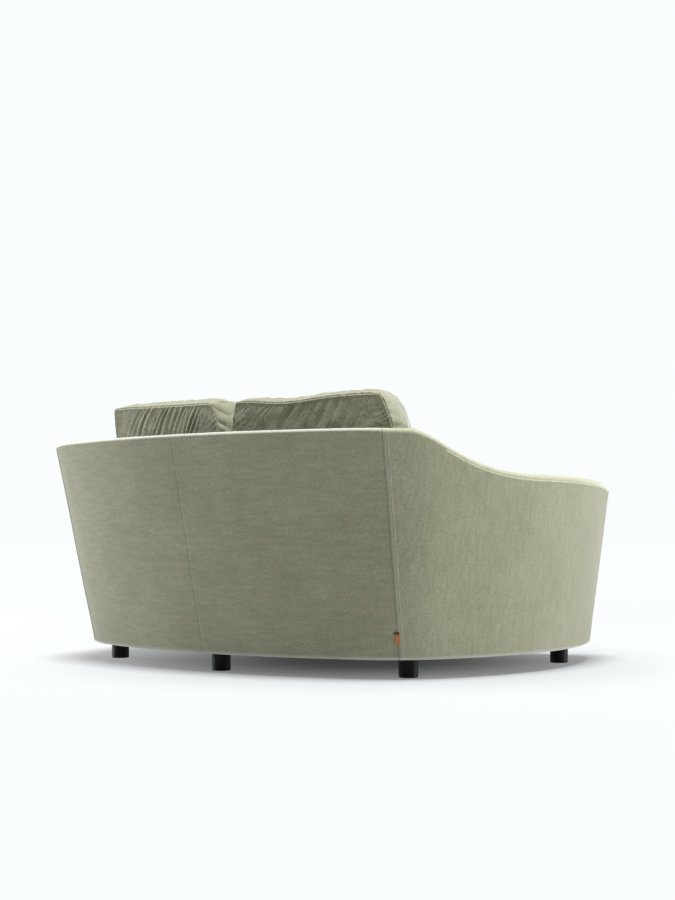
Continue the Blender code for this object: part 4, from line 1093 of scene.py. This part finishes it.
# %% Finishing a cushion
def finish_cushion(piece, shares, sizes, folds, body):
    """After the swelling: one subdivision, then the folds, and a seam with raised lips. Rows of
    stitches follow both sides of each seam."""
    names = ("first", "second", "third")
    for name, share in zip(names, shares):
        layer = piece.data.attributes.new(name, "FLOAT", "POINT")
        layer.data.foreach_set("value", share)
    finer = piece.modifiers.new("finer", "SUBSURF")
    finer.levels = finer.render_levels = 1
    evaluated = piece.evaluated_get(bpy.context.evaluated_depsgraph_get())
    mesh = bpy.data.meshes.new_from_object(evaluated)
    piece.modifiers.remove(finer)
    piece.data = mesh
    points, normal = read_rows(mesh.vertices, "co"), read_rows(mesh.vertex_normals, "vector")
    fine = []
    for name in names:
        values = np.empty(len(points))
        mesh.attributes[name].data.foreach_get("value", values)
        fine.append(values)
    on_panel, on_boxing = distances(fine, sizes)
    apart = on_panel + on_boxing
    rise = folds(*fine, on_panel, on_boxing) * (1.0 - np.exp(-apart / (6 * MM)))
    rise = rise + 1.2 * MM * bell(apart - SEAM_LIPS_AT, 3.5 * MM)
    rise = rise - 2.2 * MM * bell(apart, 1.8 * MM)
    points = points + normal * rise[:, None]
    mesh.vertices.foreach_set("co", points.ravel())
    mesh.update()
    mesh.shade_smooth()
    normal = read_rows(mesh.vertex_normals, "vector")
    lines = []
    turn = np.arctan2(fine[1] - 0.5, fine[0] - 0.5)
    for level in (0.0, 1.0):
        near = np.abs(fine[2] - level) < 0.5
        for here, other in ((on_panel, on_boxing), (on_boxing, on_panel)):
            on_row = (np.abs(here - SEAM_STITCHES_AT) < 0.2 * MM) & (other < 1e-6)
            chosen = np.flatnonzero(on_row & near)
            chosen = chosen[np.argsort(turn[chosen])]
            chosen = np.append(chosen, chosen[0])
            lines.append((points[chosen], normal[chosen]))
    stitches(piece.name.replace("cover", "stitches"), lines, body=body, slot="cushion_velvet")


def make_cushion(body, points, faces, pinned, shares, sizes, folds, fill, **swelling):
    """Build, inflate, fold, stitch and attach one loose cushion, and hide its solid."""
    piece = new_object(body.replace("cushion", "cushion_cover"), points, faces, VELVET_CUSHION)
    inflate(piece, pinned, **swelling)
    finish_cushion(piece, shares, sizes, folds, body)
    dressed(piece, body, body=body, slot="cushion_velvet")


# %% [markdown]
# ## Back cushions
# Two wedge-shaped cushions lean on the wall. Years of backs have slumped them: their top corners
# are worn round, one droops in its middle and both lean to the same side. Cloth under gravity
# could slump them too, but nobody could say where it stops, so each slump is a term of the
# formula that shapes the cube.

# %% Shape of a back cushion
SEAT_THICKNESS = 186 * MM
SEAT_TOP = SEAT_BOTTOM + SEAT_THICKNESS
CUSHION_WIDTH, CUSHION_HEIGHT = 552 * MM, 446 * MM
CUSHION_FOOT, CUSHION_HEAD, CUSHION_INSET = 190 * MM, 120 * MM, 4 * MM
CUSHION_TURN, CUSHION_LEAN = math.radians(7.6), math.tan(math.radians(2.5))
CUSHION_FROM_MIDDLE, CUSHION_FROM_WALL = 6 * MM, 72 * MM
CUSHION_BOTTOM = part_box("back_cushion_right")[0].z
CUSHION_SIZES = (CUSHION_WIDTH, CUSHION_HEIGHT, (CUSHION_FOOT + CUSHION_HEAD) / 2)
FRONT_BELLY, BACK_BELLY, TOP_CROWN = 36 * MM, 3 * MM, 16 * MM
OUTER_BULGE, SIDES_DRAWN_IN = 9 * MM, 7 * MM


def back_cushion_shape(u, v, w, side):
    """The unit cube as a leaning, wedge-shaped cushion: thicker at its foot, its panels bellied,
    its boxing rounded out, and its sides drawn in between the corners. u runs outwards from the
    sofa's middle, v from back to front, w up. Each cushion has slumped in its own way: the
    corners that point to the sofa's left have sunk and rounded off."""
    u2, w2 = rounded_corners(u, w, 0.014)
    inner = 1.0 - u2
    plump = np.sqrt(hump(u2) * hump(w2))
    thickness = CUSHION_FOOT + (CUSHION_HEAD - CUSHION_FOOT) * w2
    deep = CUSHION_INSET + (thickness - 2 * CUSHION_INSET) * v
    deep = deep + (FRONT_BELLY * v + BACK_BELLY * (1.0 - v)) * plump
    up = CUSHION_INSET / 2 + (CUSHION_HEIGHT - CUSHION_INSET) * w2
    up = up + hump(v) * hump(u2) ** 0.2 * (TOP_CROWN * w2**8)
    aside = np.clip(2.0 * u2 - 1.0, -0.8, 1.0) ** 7 * hump(v) * hump(w2) ** 0.6 * OUTER_BULGE
    worn = np.clip((w2 - 0.72) / 0.28, 0.0, 1.0) ** 1.6
    if side == "right":
        raised = 8 * u2**2 - 5 * inner * (1.0 - v) + 6 * inner**4 * v
        up = up + raised * MM * w2**2
        shift = inner**4 * 36 * MM * worn + 11 * MM * u2**4 * w2**4
    else:
        sag = np.exp(-(((u2 - 0.33) / 0.24) ** 2))
        up = up - (15 * sag + 2) * MM * w2**2
        spread = smooth((w2 - 0.45) / 0.25) * (1.0 - worn)
        shift = u2**4 * (16 * MM * spread - 30 * MM * worn)
        shift = shift - inner**4 * (30 * MM * (1.0 - v) * smooth(w2 / 0.5) - 24 * MM * worn)
    draw = SIDES_DRAWN_IN * hump(w2) * (1.0 - 2.0 * u2) * np.abs(2.0 * v - 1.0)
    across = np.array([math.cos(CUSHION_TURN), -math.sin(CUSHION_TURN), 0.0])
    forward = np.array([-math.sin(CUSHION_TURN), -math.cos(CUSHION_TURN), 0.0])
    wall = inner_wall(np.array([1e-6]), 0.0, np.array([CUSHION_BOTTOM]))[0]
    corner = np.array([CUSHION_FROM_MIDDLE + CUSHION_FOOT * math.sin(CUSHION_TURN),
                       wall[1] - CUSHION_FROM_WALL, CUSHION_BOTTOM])
    run = CUSHION_INSET + (CUSHION_WIDTH - 2 * CUSHION_INSET) * u2 + aside + draw + shift
    spot = corner + across * run[:, None] + forward * (deep - CUSHION_LEAN * up)[:, None]
    spot[:, 2] += up
    return spot


# %% Folds of a back cushion
def window(share, start, end, soft=0.08):
    """One between two shares, fading to nothing outside them."""
    return smooth((share - start) / soft + 0.5) * (1.0 - smooth((share - end) / soft + 0.5))


def back_cushion_folds(side):
    """The folds of one back cushion, as heights over its surface. Every seam is gathered a
    little. Where the cover is pulled, rows of longer and stronger pleats are added: a fan down
    from the top seam, and short gathers near the worn corners."""

    def folds(u, w, v, on_panel, on_boxing):
        """The heights for arrays of the three shares and the two distances to the seams."""
        across, below = u * CUSHION_WIDTH, (1.0 - w) * CUSHION_HEIGHT
        from_outer = (1.0 - u) * CUSHION_WIDTH
        panel = on_boxing < 1e-6
        behind = panel & (v < 0.5)
        upright = (w < 0.999) & (w > 0.001)
        height = 0.9 * MM * noise_field(61, 0.07)(across, below + v * 0.3)
        height = height + np.where(v < 0.5, 1.5 * MM, 0.9 * MM) * panel * (
            gathers(across, below, 17 * MM, 40 * MM, 0.3, 62)
            + gathers(across, CUSHION_HEIGHT - below, 18 * MM, 40 * MM, -0.2, 64)
            + gathers(below, across, 17 * MM, 34 * MM, 0.2, 66)
            + gathers(below, from_outer, 17 * MM, 34 * MM, 0.2, 68)
        )
        boxing_run = np.where(upright, below, across)
        boxing = gathers(boxing_run, on_boxing, 38 * MM, 50 * MM, 0.3, 70, sharp=1.2)
        height = height + np.where(upright, 3.0 * MM, 0.8 * MM) * ~panel * boxing
        # each row: height in mm, place, along, away, spacing and reach in mm, slant, seed,
        # sharpness, bend in mm
        if side == "right":
            crease = gathers(below, on_boxing, 34 * MM, 90 * MM, 0.7, 80, sharp=0.6)
            height = height + 5.0 * MM * upright * ~panel * (u < 0.5) * crease
            rows = (
                (8.5, window(u, 0.16, 1.1, 0.2), across, below, 26, 130, 1.25, 74, 0.7, 90),
                (3.0, 1.0, across, below, 14, 34, 0.8, 78, 0.7, 400),
                (3.0, window(w, 0.6, 0.95), below, across, 16, 34, 0.5, 76, 0.6, 400),
            )
        else:
            rows = (
                (4.0, window(u, 0.3, 0.8, 0.2), across, below, 44, 80, -0.8, 84, 0.7, 400),
                (6.0, window(u, 0.76, 1.1, 0.1), across, below, 13, 34, -0.35, 86, 0.6, 400),
                (4.0, window(w, 0.6, 1.1), below, from_outer, 14, 36, 0.3, 88, 0.6, 400),
                (4.6, window(u, -0.1, 0.42), across, below, 14, 36, -0.7, 90, 0.6, 400),
            )
        for tall, where, along, away, spacing, reach, slant, seed, sharp, bend in rows:
            pleats = gathers(along, away, spacing * MM, reach * MM, slant, seed, sharp, bend * MM)
            height = height + tall * MM * behind * where * pleats
        return height

    return folds


# %% The two back cushions
unit, cube_faces = cube_surface(
    cuts(CUSHION_WIDTH, 6.5 * MM), cuts(CUSHION_SIZES[2], 8 * MM), cuts(CUSHION_HEIGHT, 6.5 * MM)
)
u, v, w = unit.T
on_panel, on_boxing = distances((u, w, v), CUSHION_SIZES)
held = np.maximum(0.25 * (v < 1e-6), 0.4 * (u < 1e-6))
pinned = np.where(on_panel + on_boxing < 1e-6, 1.0, held)
for side, sign in SIDES:
    points = mirrored(back_cushion_shape(u, v, w, side), sign)
    make_cushion(f"back_cushion_{side}", points, cube_faces, pinned, (u, w, v), CUSHION_SIZES,
                 back_cushion_folds(side), fill=0.65, pressure=3.0, slack=0.03)

# %% [markdown]
# ## Seat cushions
# Each seat cushion fills half of the curved well: wall behind and beside it, the hollow front
# before it. A flat slab cut by the wall would do as a solid, but its grid has to follow all four
# sides for the gathers to follow the seams. A Coons patch does that: it blends the four edges.

# %% Grid of a seat cushion
SEAT_CLEARANCE, SEAT_OVERHANG, SEAT_CORNER_AT = 5 * MM, 10 * MM, 650 * MM
SEAT_FROM_MIDDLE, SEAT_SAMPLES, SEAT_SKIPPED = 2 * MM, 900, 450
SEAT_ACROSS, SEAT_THROUGH = 70, 84


def nearest_pair(first, second):
    """The row numbers of the two nearest points of two lines."""
    gaps = np.linalg.norm(first[:, None, :2] - second[None, :, :2], axis=-1)
    return np.unravel_index(np.argmin(gaps), gaps.shape)


def even(line, count):
    """The same line with evenly spaced points."""
    along = length_along(line)
    return read_line(np.linspace(0.0, along[-1], count), along, line)


def seat_patch(height, across, through):
    """A grid of points inside the wall and the front line at a height: a Coons patch, which adds
    what two pairs of facing edges give and takes away the patch of the corners alone."""
    inner = inner_wall(np.linspace(1e-6, SIDE_END, SEAT_SAMPLES), SEAT_CLEARANCE, height)
    ahead = (inner[-1] - inner[-2]) / np.linalg.norm(inner[-1] - inner[-2])
    straight = inner[-1] + ahead * np.linspace(0.001, 0.3, 300)[:, None]
    inner = np.concatenate([inner, straight])
    at = np.linspace(FRONT_MIDDLE, TIP_AT, SEAT_SAMPLES)
    front = on_wall(at, -SEAT_OVERHANG, height, BASE_ARCS, border=True)
    meet, front_meet = nearest_pair(inner[SEAT_SKIPPED:], front)
    corner = int(SEAT_CORNER_AT / SIDE_END * SEAT_SAMPLES)
    back = even(inner[:corner], across)
    side = even(inner[corner - 1 : SEAT_SKIPPED + meet + 1], through)
    fore = even(front[: front_meet + 1], across)
    back[0, 0] = fore[0, 0] = SEAT_FROM_MIDDLE
    u, v = np.meshgrid(np.linspace(0, 1, across), np.linspace(0, 1, through), indexing="ij")
    u, v = u[..., None], v[..., None]
    middle_line = back[0] * (1 - v) + fore[0] * v
    rows = middle_line * (1 - u) + side[None, :, :] * u
    columns = back[:, None, :] * (1 - v) + fore[:, None, :] * v
    low, high = back[0] * (1 - u) + back[-1] * u, fore[0] * (1 - u) + fore[-1] * u
    return rows + columns - (low * (1 - v) + high * v)


low_patch = seat_patch(SEAT_BOTTOM, SEAT_ACROSS + 1, SEAT_THROUGH + 1)
high_patch = seat_patch(SEAT_TOP, SEAT_ACROSS + 1, SEAT_THROUGH + 1)
print("seat grid:", low_patch.shape[:2])

# %% Shape and folds of a seat cushion
SEAT_SIZES = (0.70, 1.05, SEAT_THICKNESS)
SEAT_SCALE, SEAT_LIFT, SEAT_INSET, SEAT_BELLY = 0.986, 1.5 * MM, 6 * MM, 12 * MM


def seat_cushion_shape(u, v, w):
    """The unit cube as the seat cushion: the patch of its level, a little smaller, its top
    bellied."""
    u2, v2 = rounded_corners(u, v, 0.05, 14)
    i, j = u2 * SEAT_ACROSS, v2 * SEAT_THROUGH
    i0 = np.clip(i.astype(int), 0, SEAT_ACROSS - 1)
    j0 = np.clip(j.astype(int), 0, SEAT_THROUGH - 1)
    fi, fj = (i - i0)[:, None], (j - j0)[:, None]

    def sample(patch):
        """Between the four nearest points of a patch, by how near each one is."""
        near = patch[i0, j0] * (1 - fj) + patch[i0, j0 + 1] * fj
        far = patch[i0 + 1, j0] * (1 - fj) + patch[i0 + 1, j0 + 1] * fj
        return near * (1 - fi) + far * fi

    spot = sample(low_patch) * (1.0 - w)[:, None] + sample(high_patch) * w[:, None]
    middle = np.array([spot[:, 0].mean(), spot[:, 1].mean()])
    spot[:, :2] = middle + (spot[:, :2] - middle) * SEAT_SCALE
    spot[:, 2] = SEAT_BOTTOM + SEAT_LIFT + (SEAT_THICKNESS - SEAT_INSET) * w
    spot[:, 2] += SEAT_BELLY * w * np.sqrt(hump(u2) * hump(v2))
    return spot


def seat_cushion_folds(u, v, w, on_panel, on_boxing):
    """Small gathers along the seams of a seat cushion, and soft dents on its top."""
    across, through = u * SEAT_SIZES[0], v * SEAT_SIZES[1]
    panel = on_boxing < 1e-6
    top = panel & (w > 0.5)
    height = 1.2 * MM * noise_field(91, 0.09)(across, through + w * 0.4)
    height = height + 2.0 * MM * top * noise_field(92, 0.24)(across, through)
    for along, away, seed in (
        (across, through, 93),
        (across, SEAT_SIZES[1] - through, 95),
        (through, across, 97),
        (through, SEAT_SIZES[0] - across, 99),
    ):
        height = height + 1.7 * MM * panel * gathers(along, away, 22 * MM, 45 * MM, 0.3, seed)
    sideways = (u > 0.001) & (u < 0.999)
    boxing_run = np.where(sideways, across, through)
    return height + 1.6 * MM * ~panel * gathers(boxing_run, on_boxing, 24 * MM, 50 * MM, 0.2, 101)


# %% The two seat cushions
unit, cube_faces = cube_surface(
    cuts(SEAT_SIZES[0], 11 * MM), cuts(SEAT_SIZES[1], 12 * MM), cuts(SEAT_SIZES[2], 12 * MM)
)
u, v, w = unit.T
seat_shape = seat_cushion_shape(u, v, w)
on_panel, on_boxing = distances((u, v, w), SEAT_SIZES)
pinned = np.where(on_panel + on_boxing < 1e-6, 1.0, 0.0)
for side, sign in SIDES:
    make_cushion(f"seat_cushion_{side}", mirrored(seat_shape, sign), cube_faces, pinned,
                 (u, v, w), SEAT_SIZES, seat_cushion_folds, fill=0.8,
                 pressure=2.5, slack=0.02, cap=16 * MM)

# %% [markdown]
# ## Legs, tab and the pieces inside
# The legs, the tab and the frame inside already have their true shapes as solids, so they are
# kept and only get a finish, on their own object's material slots. The legs are stained black
# with a thin lacquer, which a low coat gives. The tab is plain tan leather, darker at its top end.
# Boards, steel and cloth inside get plain honest finishes, all from one function and a table.

# %% Black stained wood
LACQUER = (("Coat Weight", 0.1), ("Coat Roughness", 0.3), ("Specular IOR Level", 0.12))
black_wood, tree, shader = new_material("black_wood", 0.5, LACQUER)
grain = add_noise(tree, 60.0, (1.0, 1.0, 0.08), detail=4.0)
stain = ramp(tree, grain, 0.3, 0.7, (0.0022, 0.0022, 0.0020), (0.0055, 0.0053, 0.0050))
tree.links.new(stain, shader.inputs["Base Color"])
bump(tree, shader, ((grain, 0.2, 0.0004),))
print("legs:", black_wood.name)

# %% Tan leather
tan_leather, tree, shader = new_material("tan_leather", 0.55)
pores = add_noise(tree, 900.0)
hide = ramp(tree, pores, 0.3, 0.7, (0.36, 0.12, 0.022), (0.50, 0.19, 0.045))
tab_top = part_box("leather_tab")[1].z
up = tree.nodes.new("ShaderNodeSeparateXYZ")
tree.links.new(object_place(tree), up.inputs["Vector"])
# The top of the tab is darker: a dark tone multiplied over its last few millimetres.
darker_top = ranged(tree, up.outputs["Z"], tab_top - 9 * MM, tab_top - 5 * MM)
tone = ramp(tree, darker_top, 0.0, 1.0, EVEN, (0.12, 0.12, 0.10))
tree.links.new(blended(tree, "MULTIPLY", 1.0, hide, tone), shader.inputs["Base Color"])
bump(tree, shader, ((pores, 0.3, 0.0003),))
print("tab ends at", round(tab_top, 3))


# %% Wood, steel and cloth inside
def grained(name, low, high, scale, stretch, roughness=0.6, metallic=0.0):
    """A plain finish with a stretched grain between two tones."""
    made, tree, shader = new_material(name, roughness, (("Metallic", metallic),))
    value = add_noise(tree, scale, stretch, detail=5.0)
    tree.links.new(ramp(tree, value, 0.3, 0.7, low, high), shader.inputs["Base Color"])
    bump(tree, shader, ((value, 0.15, 0.0005),))
    return made


def grey(value, bluer=0.0):
    """A grey, with a touch of blue for steel."""
    return (value, value, value + bluer)


UPRIGHT = (0.25, 0.25, 2.0)
FINISHES = {
    "plywood": ((0.50, 0.36, 0.21), (0.64, 0.49, 0.31), 28.0, UPRIGHT),
    "timber": ((0.52, 0.36, 0.20), (0.66, 0.49, 0.30), 18.0, UPRIGHT),
    "hardboard": ((0.20, 0.12, 0.07), (0.28, 0.18, 0.11), 28.0, EVEN),
    "deck_cloth": (grey(0.03), grey(0.06), 500.0, EVEN, 0.9),
    "dust_cloth": (grey(0.012), grey(0.03), 400.0, EVEN, 0.9),
    "spring_steel": (grey(0.28, 0.01), grey(0.40, 0.01), 90.0, EVEN, 0.38, 1.0),
    "zinc": (grey(0.55, 0.02), grey(0.68, 0.02), 90.0, EVEN, 0.33, 1.0),
}
finishes = {name: grained(name, *row) for name, row in FINISHES.items()}
finishes |= {"black_wood": black_wood, "tan_leather": tan_leather}
slots = {part["node"]: part["material_slot"] for part in frame["record"]["subparts"]}
for name, node in frame["nodes"].items():
    if slots[name] in finishes:
        node.data.materials.clear()
        node.data.materials.append(finishes[slots[name]])
        node.data.shade_smooth()
        node.data.set_sharp_from_angle(angle=math.radians(32))
print("finished nodes:", sum(slots[name] in finishes for name in frame["nodes"]))
